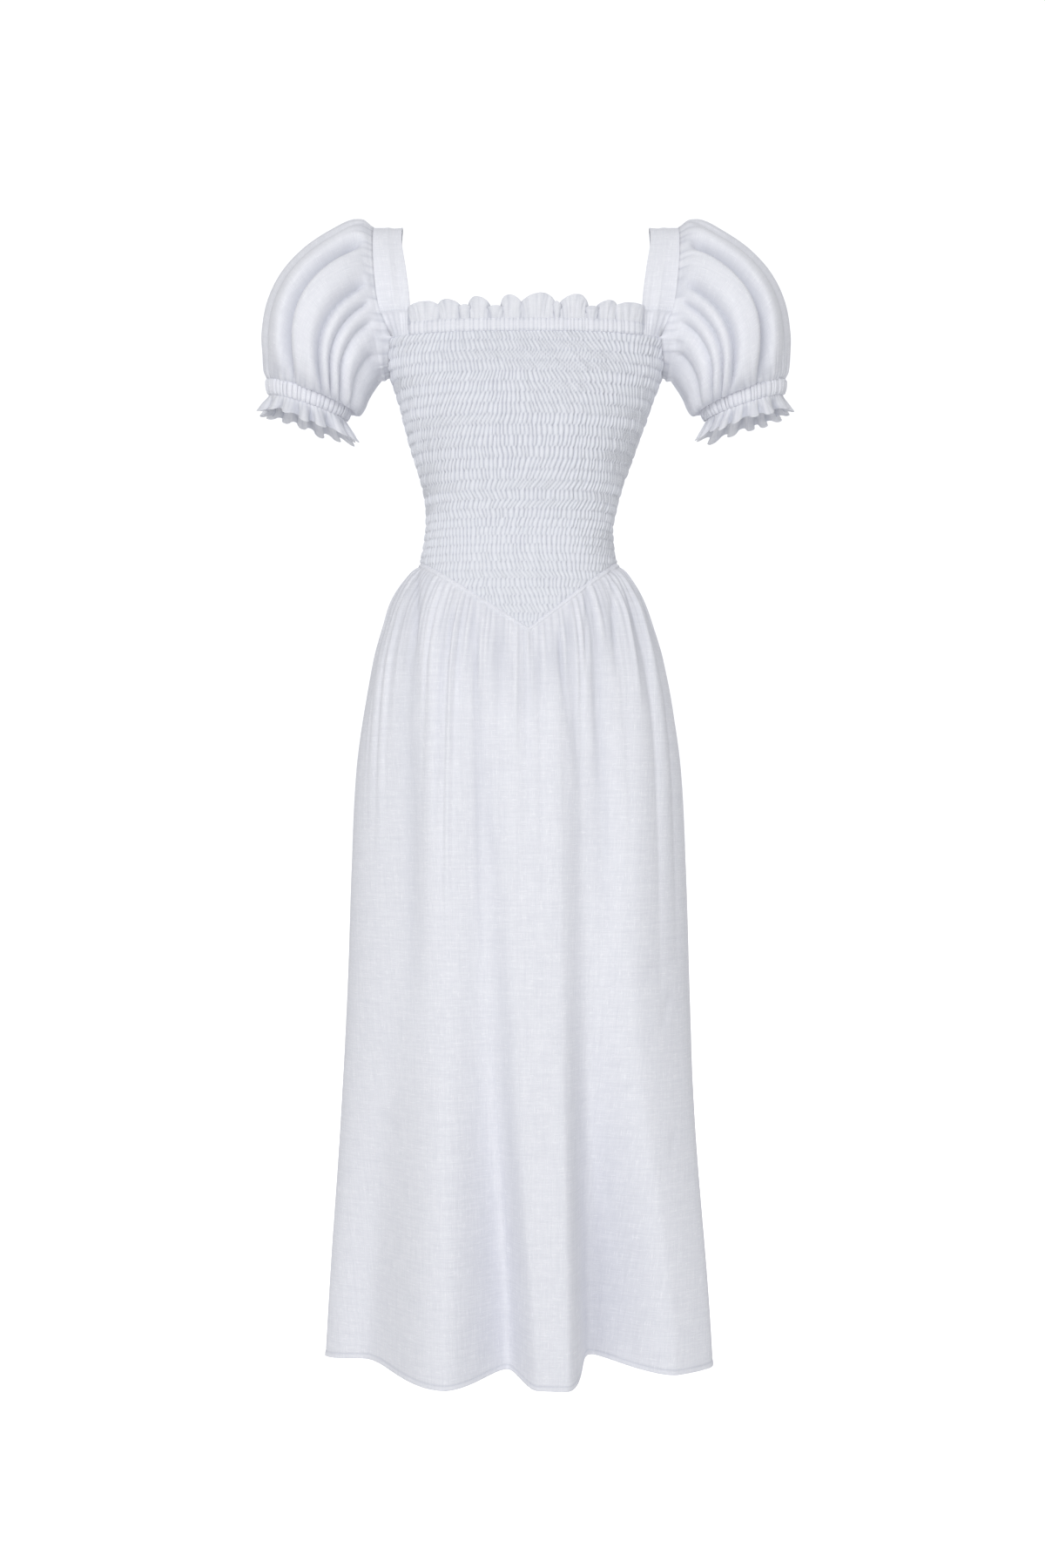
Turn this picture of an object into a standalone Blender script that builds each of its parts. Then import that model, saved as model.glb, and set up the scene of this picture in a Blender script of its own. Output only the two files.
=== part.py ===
"""A white linen midi dress in its worn form, open at neck, cuffs and hem.

The smocked bodice has a square neck and a waist seam that dips to a point in front. Wide straps carry
puff sleeves with elastic cuffs, and a full gathered skirt falls to the hem. Metres, +Z up, the wearer
faces -Y. The origin lies between the tops of the two straps, where the shoulders hold the dress.
Left and right are the wearer's: left is +X.
"""

import math
from bisect import bisect_right
from collections import namedtuple

import bmesh
import bpy
from mathutils import Vector

# Cloth and seams
LINEN = 0.0016
SMOCKED_LINEN = 0.0018
CASING_CLOTH = 0.0030
RUFFLE_CLOTH = 0.0013
SEAM_GAP = 0.0003
SMOCKED_WHITE = (0.80, 0.82, 0.86)
SKIRT_WHITE = (0.84, 0.85, 0.89)
STRAP_WHITE = (0.84, 0.86, 0.90)
SLEEVE_WHITE = (0.82, 0.84, 0.88)
CASING_WHITE = (0.86, 0.87, 0.91)
RUFFLE_WHITE = (0.80, 0.81, 0.84)

# Heights of the main lines
BODICE_TOP = -0.1333
CASING_HEIGHT = 0.0130
NECK_RUFFLE_HEIGHT = 0.0235
SIDE_WAIST = -0.3870
POINT_WAIST = -0.4660
POINT_X = 0.0050
HEM = -1.2930

# The torso's level sections. The squareness is a superellipse's power: 2 is a plain ellipse.
UPPER_CENTRE_X = 0.0020
TORSO_SQUARENESS = 2.5
TorsoSection = namedtuple("TorsoSection", "z half_width front_depth back_depth centre_x")
TORSO = [
    TorsoSection(-0.5100, 0.1500, 0.1090, 0.1150, -0.0050),
    TorsoSection(-0.4700, 0.1380, 0.1055, 0.1080, -0.0055),
    TorsoSection(-0.4300, 0.1250, 0.1000, 0.0980, -0.0060),
    TorsoSection(-0.3870, 0.1105, 0.0925, 0.0860, -0.0065),
    TorsoSection(-0.3530, 0.1045, 0.0890, 0.0800, -0.0060),
    TorsoSection(-0.3230, 0.1060, 0.0940, 0.0830, -0.0035),
    TorsoSection(-0.2930, 0.1130, 0.1020, 0.0885, -0.0020),
    TorsoSection(-0.2630, 0.1230, 0.1090, 0.0940, -0.0010),
    TorsoSection(-0.2330, 0.1325, 0.1140, 0.0980, 0.0000),
    TorsoSection(-0.2030, 0.1415, 0.1140, 0.1000, 0.0015),
    TorsoSection(-0.1700, 0.1530, 0.1080, 0.0980, 0.0020),
    TorsoSection(-0.1330, 0.1600, 0.0980, 0.0920, 0.0020),
    TorsoSection(-0.0900, 0.1660, 0.0900, 0.0860, 0.0020),
]

# The armhole is an upright ellipse seen from the side, cut straight through from side to side
ARMHOLE_HALF_DEPTH = 0.0550
ARMHOLE_HALF_HEIGHT = 0.0855
ARMHOLE_CENTRE_Z = -ARMHOLE_HALF_HEIGHT
ARMHOLE_SEGMENTS = 64
ARMHOLE_BAR = 0.6000

# The wedge that cuts the pointed foot of the front bodice
WEDGE_HALF_WIDTH = 0.3000
WEDGE_FOOT = -0.6000
WEDGE_FRONT = -0.3000
WEDGE_DEPTH = 0.4000

# Smocking: one puffed row between two elastic threads
BUST_ROW_PITCH = 0.0120
WAIST_ROW_PITCH = 0.0097
BUST_ROWS_END = -0.2700
WAIST_ROWS_START = -0.3400
PUFF_HIGH = 0.0026
PUFF_LOW = 0.0012
PUFF_COLUMNS = 22
PLAIN_STEP = 4
PLAIN_COLUMNS = 11

# Straps, by the angle round the armhole: -33.75 at the front foot, 90 on the shoulder. Distances
# in x are from the dress's centre line. Behind, the inner edge lies a little further out.
StrapSection = namedtuple("StrapSection", "angle outer_x inner_x inner_y")
STRAP = [
    StrapSection(-33.7, 0.1540, 0.1330, 0.0655),
    StrapSection(-8.4, 0.1675, 0.1310, 0.0660),
    StrapSection(17.4, 0.1730, 0.1350, 0.0560),
    StrapSection(46.9, 0.1755, 0.1408, 0.0340),
    StrapSection(90.0, 0.1760, 0.1415, 0.0000),
]
BACK_STRAP_INSET = 0.0060
STRAP_CLEARANCE = 0.0012
STRAP_STEPS_LONG = 20
STRAP_STEPS_WIDE = 3
STRAP_CROWN = 0.0020

# Sleeve sections from armhole to cuff. Each runs from its upper outer point to its underarm point.
SleeveSection = namedtuple("SleeveSection", "share upper_x upper_z under_x under_z half_depth")
SLEEVE = [
    SleeveSection(0.00, 0.1775, 0.0000, 0.1600, -0.1708, 0.0550),
    SleeveSection(0.10, 0.1965, 0.0062, 0.1645, -0.1735, 0.0670),
    SleeveSection(0.22, 0.2270, -0.0080, 0.1690, -0.1760, 0.0780),
    SleeveSection(0.34, 0.2560, -0.0290, 0.1730, -0.1810, 0.0860),
    SleeveSection(0.46, 0.2795, -0.0560, 0.1775, -0.1875, 0.0900),
    SleeveSection(0.59, 0.2945, -0.0880, 0.1820, -0.1955, 0.0890),
    SleeveSection(0.73, 0.3005, -0.1230, 0.1855, -0.2040, 0.0820),
    SleeveSection(0.86, 0.2995, -0.1500, 0.1910, -0.2115, 0.0690),
    SleeveSection(0.94, 0.2980, -0.1655, 0.1955, -0.2125, 0.0565),
    SleeveSection(1.00, 0.2945, -0.1760, 0.2040, -0.2055, 0.0465),
]
CUFF_TOP = SLEEVE[-1]
CUFF_FOOT = SleeveSection(1.0, 0.2930, -0.1910, 0.2085, -0.2190, 0.0450)
RUFFLE_FOOT = SleeveSection(1.0, 0.3010, -0.2110, 0.1990, -0.2425, 0.0580)
SLEEVE_COLUMNS = 36
SLEEVE_GATHER = 0.0012
SLEEVE_HEAD_INSIDE = 0.0010
SLEEVE_OVER_STRAP = 0.0010
SLEEVE_OVER_BODICE = 0.0068
CUFF_GATHER = 0.0008
CUFF_SWELL = 1.3
CUFF_RUFFLE_WAVES = 12
CUFF_RUFFLE_COLUMNS = 48
CUFF_RUFFLE_SWING = 0.0042

# Folds round the sleeve: 0 degrees on its upper outer line, 90 in front, 180 under the arm
RoundFold = namedtuple("RoundFold", "angle height")
SLEEVE_FOLDS = [
    RoundFold(0, 0.0020),
    RoundFold(18, -0.0010),
    RoundFold(40, 0.0040),
    RoundFold(57, -0.0065),
    RoundFold(78, 0.0050),
    RoundFold(99, -0.0055),
    RoundFold(118, 0.0030),
    RoundFold(136, -0.0040),
    RoundFold(156, 0.0020),
    RoundFold(180, -0.0020),
    RoundFold(206, 0.0030),
    RoundFold(230, -0.0045),
    RoundFold(254, 0.0045),
    RoundFold(278, -0.0050),
    RoundFold(302, 0.0045),
    RoundFold(332, -0.0030),
]

# Neck ruffles stand on their elastic casings between the straps
NECK_HALF_WIDTH = 0.1290
BACK_NECK_HALF_WIDTH = NECK_HALF_WIDTH + BACK_STRAP_INSET
NECK_RUFFLE_WAVES = 9
NECK_RUFFLE_COLUMNS = 54
NECK_RUFFLE_SWING = 0.0045
NECK_RUFFLE_SCALLOP = 0.0020
NECK_RUFFLE_FLARE = 0.0020
NECK_RUFFLE_STANDOFF = 0.0012
CASING_COLUMNS = 30
CASING_GATHER = 0.0006
CASING_BULGE = 0.0010

# Skirt sections by the share of the way from waist seam to hem
SKIRT_SQUARENESS = 2.2
SKIRT_CENTRE_X = -0.0060
SkirtSection = namedtuple("SkirtSection", "share half_width front_depth back_depth")
SKIRT = [
    SkirtSection(0.000, 0.1110, 0.1050, 0.0860),
    SkirtSection(0.013, 0.1220, 0.1080, 0.0960),
    SkirtSection(0.030, 0.1320, 0.1110, 0.1060),
    SkirtSection(0.050, 0.1405, 0.1140, 0.1150),
    SkirtSection(0.080, 0.1505, 0.1170, 0.1240),
    SkirtSection(0.120, 0.1625, 0.1195, 0.1320),
    SkirtSection(0.180, 0.1745, 0.1215, 0.1390),
    SkirtSection(0.260, 0.1845, 0.1230, 0.1440),
    SkirtSection(0.380, 0.1900, 0.1240, 0.1480),
    SkirtSection(0.540, 0.1950, 0.1250, 0.1520),
    SkirtSection(0.720, 0.2040, 0.1260, 0.1570),
    SkirtSection(0.880, 0.2140, 0.1265, 0.1620),
    SkirtSection(1.000, 0.2205, 0.1270, 0.1650),
]
SKIRT_ROWS = [0.0, 0.02, 0.05, 0.10, 0.18, 0.30, 0.45, 0.62, 0.80, 1.0]
FRONT_GATHERS = 30
BACK_GATHERS = 24
SKIRT_GATHER = 0.0016
GATHERS_FADE = (0.06, 0.30)
SEAM_SHAPE_END = 0.12

# Long folds of the skirt. Places run from -1 at the right side seam to 1 at the left one, and heights
# stand out from the plain section: a ridge is above 0 and a valley below. The hem drops by a share
# of the height under a ridge and rises by as much under a valley.
LongFold = namedtuple("LongFold", "middle_place hem_place middle_height hem_height")
FRONT_FOLDS = [
    LongFold(-1.00, -1.00, 0.000, 0.000),
    LongFold(-0.66, -0.78, -0.012, -0.035),
    LongFold(-0.37, -0.35, 0.012, 0.039),
    LongFold(-0.19, -0.07, -0.014, -0.034),
    LongFold(-0.03, 0.10, 0.010, 0.036),
    LongFold(0.22, 0.23, 0.012, 0.039),
    LongFold(0.38, 0.46, -0.016, -0.078),
    LongFold(0.58, 0.70, 0.008, 0.012),
    LongFold(0.80, 0.83, 0.000, 0.012),
    LongFold(1.00, 1.00, 0.000, -0.010),
]
BACK_FOLDS = [
    LongFold(-1.00, -1.00, 0.000, 0.000),
    LongFold(-0.82, -0.82, -0.008, -0.016),
    LongFold(-0.62, -0.60, 0.010, 0.034),
    LongFold(-0.38, -0.36, -0.012, -0.028),
    LongFold(-0.12, -0.13, 0.012, 0.036),
    LongFold(0.14, 0.11, -0.012, -0.026),
    LongFold(0.34, 0.30, 0.010, 0.030),
    LongFold(0.50, 0.45, -0.009, -0.012),
    LongFold(0.66, 0.63, 0.010, 0.072),
    LongFold(0.86, 0.87, -0.006, -0.018),
    LongFold(1.00, 1.00, 0.000, -0.010),
]
HEM_DROP = 0.12
FOLDS_RISE = (0.03, 0.35)
FOLDS_SWAY = (0.40, 1.00)


def mix(a, b, share):
    return a + (b - a) * share


def smooth_step(low, high, value):
    share = min(1.0, max(0.0, (value - low) / (high - low)))
    return share * share * (3.0 - 2.0 * share)


def on_curve(rows, key):
    """The table's values at a key in its first column, on a smooth curve through its rows."""
    keys = [row[0] for row in rows]
    key = min(max(key, keys[0]), keys[-1])
    i = min(max(bisect_right(keys, key) - 1, 0), len(keys) - 2)
    span = keys[i + 1] - keys[i]
    share = (key - keys[i]) / span

    def slope(j, column):
        before, after = max(j - 1, 0), min(j + 1, len(keys) - 1)
        return (rows[after][column] - rows[before][column]) / (keys[after] - keys[before])

    start = 2 * share**3 - 3 * share**2 + 1
    leave = share**3 - 2 * share**2 + share
    arrive = share**3 - share**2
    values = [
        start * rows[i][c]
        + (1 - start) * rows[i + 1][c]
        + span * (leave * slope(i, c) + arrive * slope(i + 1, c))
        for c in range(1, len(rows[0]))
    ]
    return type(rows[0])(key, *values)


def oval(place, half_width, depth, power):
    """A quarter turn each way from straight ahead: place -1 to 1 gives x and how far out it lies."""
    angle = place * math.pi / 2
    across, ahead = math.sin(angle), abs(math.cos(angle))
    reach = (abs(across / half_width) ** power + (ahead / depth) ** power) ** (-1 / power)
    return reach * across, reach * ahead


def torso_point(place, z, facing):
    """A point on the torso at a place across the front (facing -1) or the back (facing 1)."""
    section = on_curve(TORSO, z)
    depth = section.front_depth if facing < 0 else section.back_depth
    x, out = oval(place, section.half_width, depth, TORSO_SQUARENESS)
    return Vector((section.centre_x + x, facing * out, z))


def torso_depth_at(x, z, facing):
    """How far the torso lies from the side plane, at an x."""
    section = on_curve(TORSO, z)
    depth = section.front_depth if facing < 0 else section.back_depth
    share = min(1.0, abs(x - section.centre_x) / section.half_width)
    return depth * (1 - share**TORSO_SQUARENESS) ** (1 / TORSO_SQUARENESS)


def torso_reach_at(y, z):
    """How far the torso reaches out from its centre line, at a y."""
    section = on_curve(TORSO, z)
    depth = section.front_depth if y < 0 else section.back_depth
    share = min(1.0, abs(y) / depth)
    return section.half_width * (1 - share**TORSO_SQUARENESS) ** (1 / TORSO_SQUARENESS)


def waist_seam_z(x, facing):
    """The waist seam is level behind and dips to a point in front."""
    if facing > 0:
        return SIDE_WAIST
    section = on_curve(TORSO, SIDE_WAIST)
    side_x = section.centre_x + math.copysign(section.half_width, x - POINT_X)
    return POINT_WAIST + (SIDE_WAIST - POINT_WAIST) * (x - POINT_X) / (side_x - POINT_X)


def smocking_levels(bottom):
    """Heights of the elastic threads and of the crests between them, from the top down."""
    levels = [BODICE_TOP]
    while levels[-1] > bottom:
        share = smooth_step(-BUST_ROWS_END, -WAIST_ROWS_START, -levels[-1])
        half = mix(BUST_ROW_PITCH, WAIST_ROW_PITCH, share) / 2
        levels += [levels[-1] - half, levels[-1] - 2 * half]
    return levels


def grid_normals(grid, closed):
    """A unit normal for each point of a grid, from its neighbours."""
    rows, columns = len(grid), len(grid[0])
    normals = []
    for r in range(rows):
        above, below = grid[max(r - 1, 0)], grid[min(r + 1, rows - 1)]
        line = []
        for c in range(columns):
            before = (c - 1) % columns if closed else max(c - 1, 0)
            after = (c + 1) % columns if closed else min(c + 1, columns - 1)
            across = grid[r][after] - grid[r][before]
            line.append(across.cross(above[c] - below[c]).normalized())
        normals.append(line)
    return normals


def moved(grid, normals, distance):
    return [[p + n * distance for p, n in zip(row, lean)] for row, lean in zip(grid, normals)]


def join_lines(mesh, first, second, loop=False):
    """Fills the strip between two lines of points, which may have different counts."""
    if loop:
        first, second = first + first[:1], second + second[:1]
    i = j = 0
    while i < len(first) - 1 or j < len(second) - 1:
        next_first = (i + 1) / (len(first) - 1)
        next_second = (j + 1) / (len(second) - 1)
        if len(first) == len(second):
            mesh.faces.new((first[i], first[i + 1], second[j + 1], second[j]))
            i, j = i + 1, j + 1
        elif next_first <= next_second:
            mesh.faces.new((first[i], first[i + 1], second[j]))
            i += 1
        else:
            mesh.faces.new((first[i], second[j + 1], second[j]))
            j += 1


def cloth_wall(name, outer, inner, colour, closed=False):
    """A closed wall between an outer and an inner grid of points, open at its rims or round a ring."""
    mesh = bmesh.new()
    layers = [[[mesh.verts.new(p) for p in row] for row in grid] for grid in (outer, inner)]
    for layer in layers:
        for upper, lower in zip(layer, layer[1:]):
            join_lines(mesh, upper, lower, loop=closed)
    face, back = layers
    join_lines(mesh, face[0], back[0], loop=closed)
    join_lines(mesh, face[-1], back[-1], loop=closed)
    if not closed:
        for c in (0, -1):
            join_lines(mesh, [row[c] for row in face], [row[c] for row in back])
    bmesh.ops.recalc_face_normals(mesh, faces=mesh.faces)
    data = bpy.data.meshes.new(name)
    mesh.to_mesh(data)
    mesh.free()
    data.shade_smooth()
    data.set_sharp_from_angle(angle=math.radians(50))
    piece = bpy.data.objects.new(name, data)
    bpy.context.scene.collection.objects.link(piece)
    data.materials.append(linen_material(name, colour))
    return piece


def linen_material(name, colour):
    material = bpy.data.materials.new(name)
    material.use_nodes = True
    shader = material.node_tree.nodes["Principled BSDF"]
    shader.inputs["Base Color"].default_value = (*colour, 1)
    shader.inputs["Roughness"].default_value = 0.85
    shader.inputs["Metallic"].default_value = 0.0
    return material


def hide_cutter(cutter):
    cutter.hide_render = True
    cutter.display_type = "WIRE"
    return cutter


def cut_away(piece, cutter):
    cut = piece.modifiers.new(cutter.name, "BOOLEAN")
    cut.operation = "DIFFERENCE"
    cut.object = cutter
    cut.solver = "EXACT"


def armhole_cutter():
    """An elliptic bar through both armholes."""
    bpy.ops.mesh.primitive_cylinder_add(
        vertices=ARMHOLE_SEGMENTS,
        radius=1.0,
        depth=ARMHOLE_BAR,
        location=(0, 0, ARMHOLE_CENTRE_Z),
        rotation=(0, math.pi / 2, 0),
        scale=(ARMHOLE_HALF_HEIGHT, ARMHOLE_HALF_DEPTH, 1),
    )
    cutter = bpy.context.object
    cutter.name = "armhole_cutter"
    return hide_cutter(cutter)


def waist_cutter():
    """A wedge whose upper faces are the two straight halves of the pointed waist seam."""
    outline = [
        (-WEDGE_HALF_WIDTH, waist_seam_z(-WEDGE_HALF_WIDTH, -1)),
        (POINT_X, POINT_WAIST),
        (WEDGE_HALF_WIDTH, waist_seam_z(WEDGE_HALF_WIDTH, -1)),
        (WEDGE_HALF_WIDTH, WEDGE_FOOT),
        (-WEDGE_HALF_WIDTH, WEDGE_FOOT),
    ]
    mesh = bmesh.new()
    face = mesh.faces.new([mesh.verts.new((x, WEDGE_FRONT, z)) for x, z in outline])
    pushed = bmesh.ops.extrude_face_region(mesh, geom=[face])["geom"]
    bmesh.ops.translate(
        mesh,
        vec=(0, WEDGE_DEPTH, 0),
        verts=[v for v in pushed if isinstance(v, bmesh.types.BMVert)],
    )
    bmesh.ops.recalc_face_normals(mesh, faces=mesh.faces)
    data = bpy.data.meshes.new("waist_cutter")
    mesh.to_mesh(data)
    mesh.free()
    cutter = bpy.data.objects.new("waist_cutter", data)
    bpy.context.scene.collection.objects.link(cutter)
    return hide_cutter(cutter)


def bodice_panel(name, facing, levels):
    """A smocked panel: puffed rows outside over a plain inside, flat at both side seams."""
    places = [2 * c / PUFF_COLUMNS - 1 for c in range(PUFF_COLUMNS + 1)]
    body = [[torso_point(u, z, facing) for u in places] for z in levels]
    outer = []
    for r, (row, leans) in enumerate(zip(body, grid_normals(body, closed=False))):
        line = []
        for c, (point, lean) in enumerate(zip(row, leans)):
            level_lean = Vector((lean.x, lean.y, 0)).normalized() * -facing
            staggered = (c + r // 2) % 2
            puff = r % 2 * (PUFF_HIGH if staggered else PUFF_LOW)
            at_seam = c in (0, PUFF_COLUMNS)
            line.append(point + level_lean * (SMOCKED_LINEN + (0.0 if at_seam else puff)))
        outer.append(line)
    plain_levels = levels[:-1:PLAIN_STEP] + levels[-1:]
    plain_places = [2 * c / PLAIN_COLUMNS - 1 for c in range(PLAIN_COLUMNS + 1)]
    inner = [[torso_point(u, z, facing) for u in plain_places] for z in plain_levels]
    for grid in (outer, inner):
        for row in grid:
            row[0].y = row[-1].y = facing * SEAM_GAP / 2
    return cloth_wall(name, outer, inner, SMOCKED_WHITE)


def armhole_point(angle, shrink=0.0):
    """The y and z of a point on the armhole: -90 degrees is the underarm, 0 the front, 90 the top."""
    turn = math.radians(angle)
    y = -(ARMHOLE_HALF_DEPTH - shrink) * math.cos(turn)
    z = ARMHOLE_CENTRE_Z + (ARMHOLE_HALF_HEIGHT - shrink) * math.sin(turn)
    return y, z


def strap_section(angle):
    """Strap sizes at any angle: the back half mirrors the front, and is a little narrower."""
    if angle <= 90:
        section = on_curve(STRAP, angle)
        return section.outer_x, section.inner_x, -section.inner_y
    section = on_curve(STRAP, 180 - angle)
    inset = BACK_STRAP_INSET * (1 - smooth_step(0, 90, 180 - angle))
    return section.outer_x, section.inner_x + inset, section.inner_y


def strap_foot_angle():
    """Where the strap stands on the bodice's upper edge, with a seam gap."""
    rise = BODICE_TOP + SEAM_GAP - ARMHOLE_CENTRE_Z
    return math.degrees(math.asin(rise / (ARMHOLE_HALF_HEIGHT + STRAP_CLEARANCE)))


def strap(name, side):
    """A band of two linen layers from the front of the bodice over the shoulder to the back."""
    foot = strap_foot_angle()
    grid = []
    for step in range(STRAP_STEPS_LONG + 1):
        angle = mix(foot, 180 - foot, step / STRAP_STEPS_LONG)
        outer_x, inner_x, inner_y = strap_section(angle)
        y, z = armhole_point(angle, -STRAP_CLEARANCE)
        row = []
        for across in range(STRAP_STEPS_WIDE + 1):
            share = across / STRAP_STEPS_WIDE
            crown = STRAP_CROWN * math.sin(math.pi * share)
            row.append(
                Vector((
                    UPPER_CENTRE_X + side * mix(outer_x, inner_x, share),
                    mix(y, inner_y, share) * (1 + crown / ARMHOLE_HALF_DEPTH),
                    z,
                ))
            )
        grid.append(row)
    normals = grid_normals(grid, closed=False)
    away = normals[STRAP_STEPS_LONG // 2][STRAP_STEPS_WIDE // 2].z
    outer = moved(grid, normals, math.copysign(LINEN, away))
    for row, plain in ((outer[0], grid[0]), (outer[-1], grid[-1])):
        for point, foot_point in zip(row, plain):
            point.z = foot_point.z
    return cloth_wall(name, outer, grid, STRAP_WHITE)


def armhole_reach(angle):
    """How far from the centre line the armhole's edge lies: on the strap, then on the bodice."""
    y, z = armhole_point(angle)
    foot = STRAP[0].angle
    if foot <= angle <= 180 - foot:
        return strap_section(angle)[0]
    return torso_reach_at(y, z)


def ring_of(section, columns, side, out=lambda turn: 0.0, along=0.0):
    """Points round a sleeve section, moved outwards by out(turn) and along the sleeve by along."""
    upper = Vector((section.upper_x, 0, section.upper_z))
    under = Vector((section.under_x, 0, section.under_z))
    centre, half = (upper + under) / 2, (upper - under) / 2
    down = Vector((0, 1, 0)).cross(half).normalized()
    if down.z > 0:
        down.negate()
    ring = []
    for c in range(columns):
        turn = 2 * math.pi * c / columns
        radius = half.length + out(turn), section.half_depth + out(turn)
        point = centre + half.normalized() * radius[0] * math.cos(turn) + down * along
        ring.append(
            Vector((
                UPPER_CENTRE_X + side * point.x,
                -radius[1] * math.sin(turn),
                point.z,
            ))
        )
    return ring


def fold_height(folds, angle):
    """Height of a closed round of folds at an angle, in smooth waves from one fold to the next."""
    rows = folds + [RoundFold(folds[0].angle + 360, folds[0].height)]
    for first, second in zip(rows, rows[1:]):
        if first.angle <= angle <= second.angle:
            return mix(first.height, second.height, smooth_step(first.angle, second.angle, angle))
    return rows[-1].height


def sleeve(name, side):
    """A puff sleeve: its head passes through the armhole, swells and is gathered again at the cuff."""
    def head_ring(reach_out, shrink):
        ring = []
        for c in range(SLEEVE_COLUMNS):
            angle = 90 - 360 * c / SLEEVE_COLUMNS
            angle = angle if angle >= -90 else angle + 360
            y, z = armhole_point(angle, shrink + c % 2 * SLEEVE_GATHER)
            bodice_share = smooth_step(STRAP[0].angle + 12, STRAP[0].angle, 90 - abs(90 - angle))
            reach = armhole_reach(angle) + mix(reach_out[0], reach_out[1], bodice_share)
            ring.append(Vector((UPPER_CENTRE_X + side * reach, y, z)))
        return ring

    rings = [
        head_ring((-SLEEVE_HEAD_INSIDE, -SLEEVE_HEAD_INSIDE), SEAM_GAP * 1.5),
        head_ring((SLEEVE_OVER_STRAP, SLEEVE_OVER_BODICE), SEAM_GAP * 1.5),
    ]
    for section in SLEEVE[1:]:
        swell = smooth_step(0.0, 0.35, section.share) * (1 - 0.75 * smooth_step(0.7, 1.0, section.share))
        gather = SLEEVE_GATHER * (1 - 0.6 * math.sin(math.pi * section.share))

        def out(turn, swell=swell, gather=gather):
            ripple = gather * math.cos(turn * SLEEVE_COLUMNS / 2)
            return swell * fold_height(SLEEVE_FOLDS, math.degrees(turn)) + ripple

        rings.append(ring_of(section, SLEEVE_COLUMNS, side, out))
    normals = grid_normals(rings, closed=True)
    outside = -side if normals[4][0].x * side < 0 else side
    inner = moved(rings, normals, -LINEN * outside * side)
    for c, point in enumerate(inner[0]):
        centre = Vector((rings[0][c].x, 0, ARMHOLE_CENTRE_Z))
        point[:] = rings[0][c] - (rings[0][c] - centre).normalized() * LINEN
        centre.x = rings[1][c].x
        inner[1][c][:] = rings[1][c] - (rings[1][c] - centre).normalized() * LINEN
    inner[-1] = ring_of(
        CUFF_TOP, SLEEVE_COLUMNS, side, lambda turn: out(turn) - LINEN / 2, along=-LINEN
    )
    return cloth_wall(name, rings, inner, SLEEVE_WHITE, closed=True)


def section_between(first, second, share):
    return SleeveSection(*(mix(a, b, share) for a, b in zip(first, second)))


def cuff(name, side):
    """The elastic casing round the sleeve's foot, drawn into small gathers."""
    def out(turn):
        return CUFF_GATHER * math.cos(turn * SLEEVE_COLUMNS / 2)

    def bulged(turn):
        return CUFF_SWELL * out(turn)

    middle = section_between(CUFF_TOP, CUFF_FOOT, 0.5)
    outer = [
        ring_of(CUFF_TOP, SLEEVE_COLUMNS, side, out, along=SEAM_GAP),
        ring_of(middle, SLEEVE_COLUMNS, side, bulged),
        ring_of(CUFF_FOOT, SLEEVE_COLUMNS, side, out),
    ]
    inner = [
        ring_of(CUFF_TOP, SLEEVE_COLUMNS, side, lambda turn: -CASING_CLOTH, along=SEAM_GAP),
        ring_of(CUFF_FOOT, SLEEVE_COLUMNS, side, lambda turn: -CASING_CLOTH),
    ]
    return cloth_wall(name, outer, inner, CASING_WHITE, closed=True)


def cuff_ruffle(name, side):
    """The free edge below the elastic, which stands out in waves."""
    def waves(swing):
        return lambda turn: swing * math.cos(turn * CUFF_RUFFLE_WAVES) - RUFFLE_CLOTH / 2

    rows = ((0.0, 0.05), (0.5, 0.6), (1.0, 1.0))
    outer, inner = [], []
    for share, swing in rows:
        section = section_between(CUFF_FOOT, RUFFLE_FOOT, share)
        along = SEAM_GAP if share == 0 else 0.0
        wave = waves(CUFF_RUFFLE_SWING * swing)
        outer.append(ring_of(section, CUFF_RUFFLE_COLUMNS, side, wave, along))
        inner.append(
            ring_of(
                section,
                CUFF_RUFFLE_COLUMNS,
                side,
                lambda turn, wave=wave: wave(turn) - RUFFLE_CLOTH,
                along,
            )
        )
    return cloth_wall(name, outer, inner, CASING_WHITE, closed=True)


def neck_line(share, z, facing, out):
    """A point of the neck edge between the straps, at a share from -1 to 1, moved out from the body."""
    x = UPPER_CENTRE_X + share * (NECK_HALF_WIDTH if facing < 0 else BACK_NECK_HALF_WIDTH)
    step = 0.001
    depth = torso_depth_at(x, z, facing)
    rise = (torso_depth_at(x + step, z, facing) - torso_depth_at(x - step, z, facing)) / (2 * step)
    lean = Vector((-rise, facing, 0)).normalized()
    return Vector((x, facing * depth, z)) + lean * out


def neck_casing(name, facing):
    """The elastic casing that lies on the bodice's upper edge."""
    low, high = BODICE_TOP + SEAM_GAP, BODICE_TOP + CASING_HEIGHT
    shares = [2 * c / CASING_COLUMNS - 1 for c in range(CASING_COLUMNS + 1)]
    outer = []
    for z, bulge in ((high, 0.0), ((low + high) / 2, CASING_BULGE), (low, 0.0)):
        outer.append([
            neck_line(s, z, facing, CASING_CLOTH + bulge + c % 2 * CASING_GATHER)
            for c, s in enumerate(shares)
        ])
    inner = [[neck_line(s, z, facing, 0.0) for s in shares] for z in (high, low)]
    return cloth_wall(name, outer, inner, CASING_WHITE)


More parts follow.
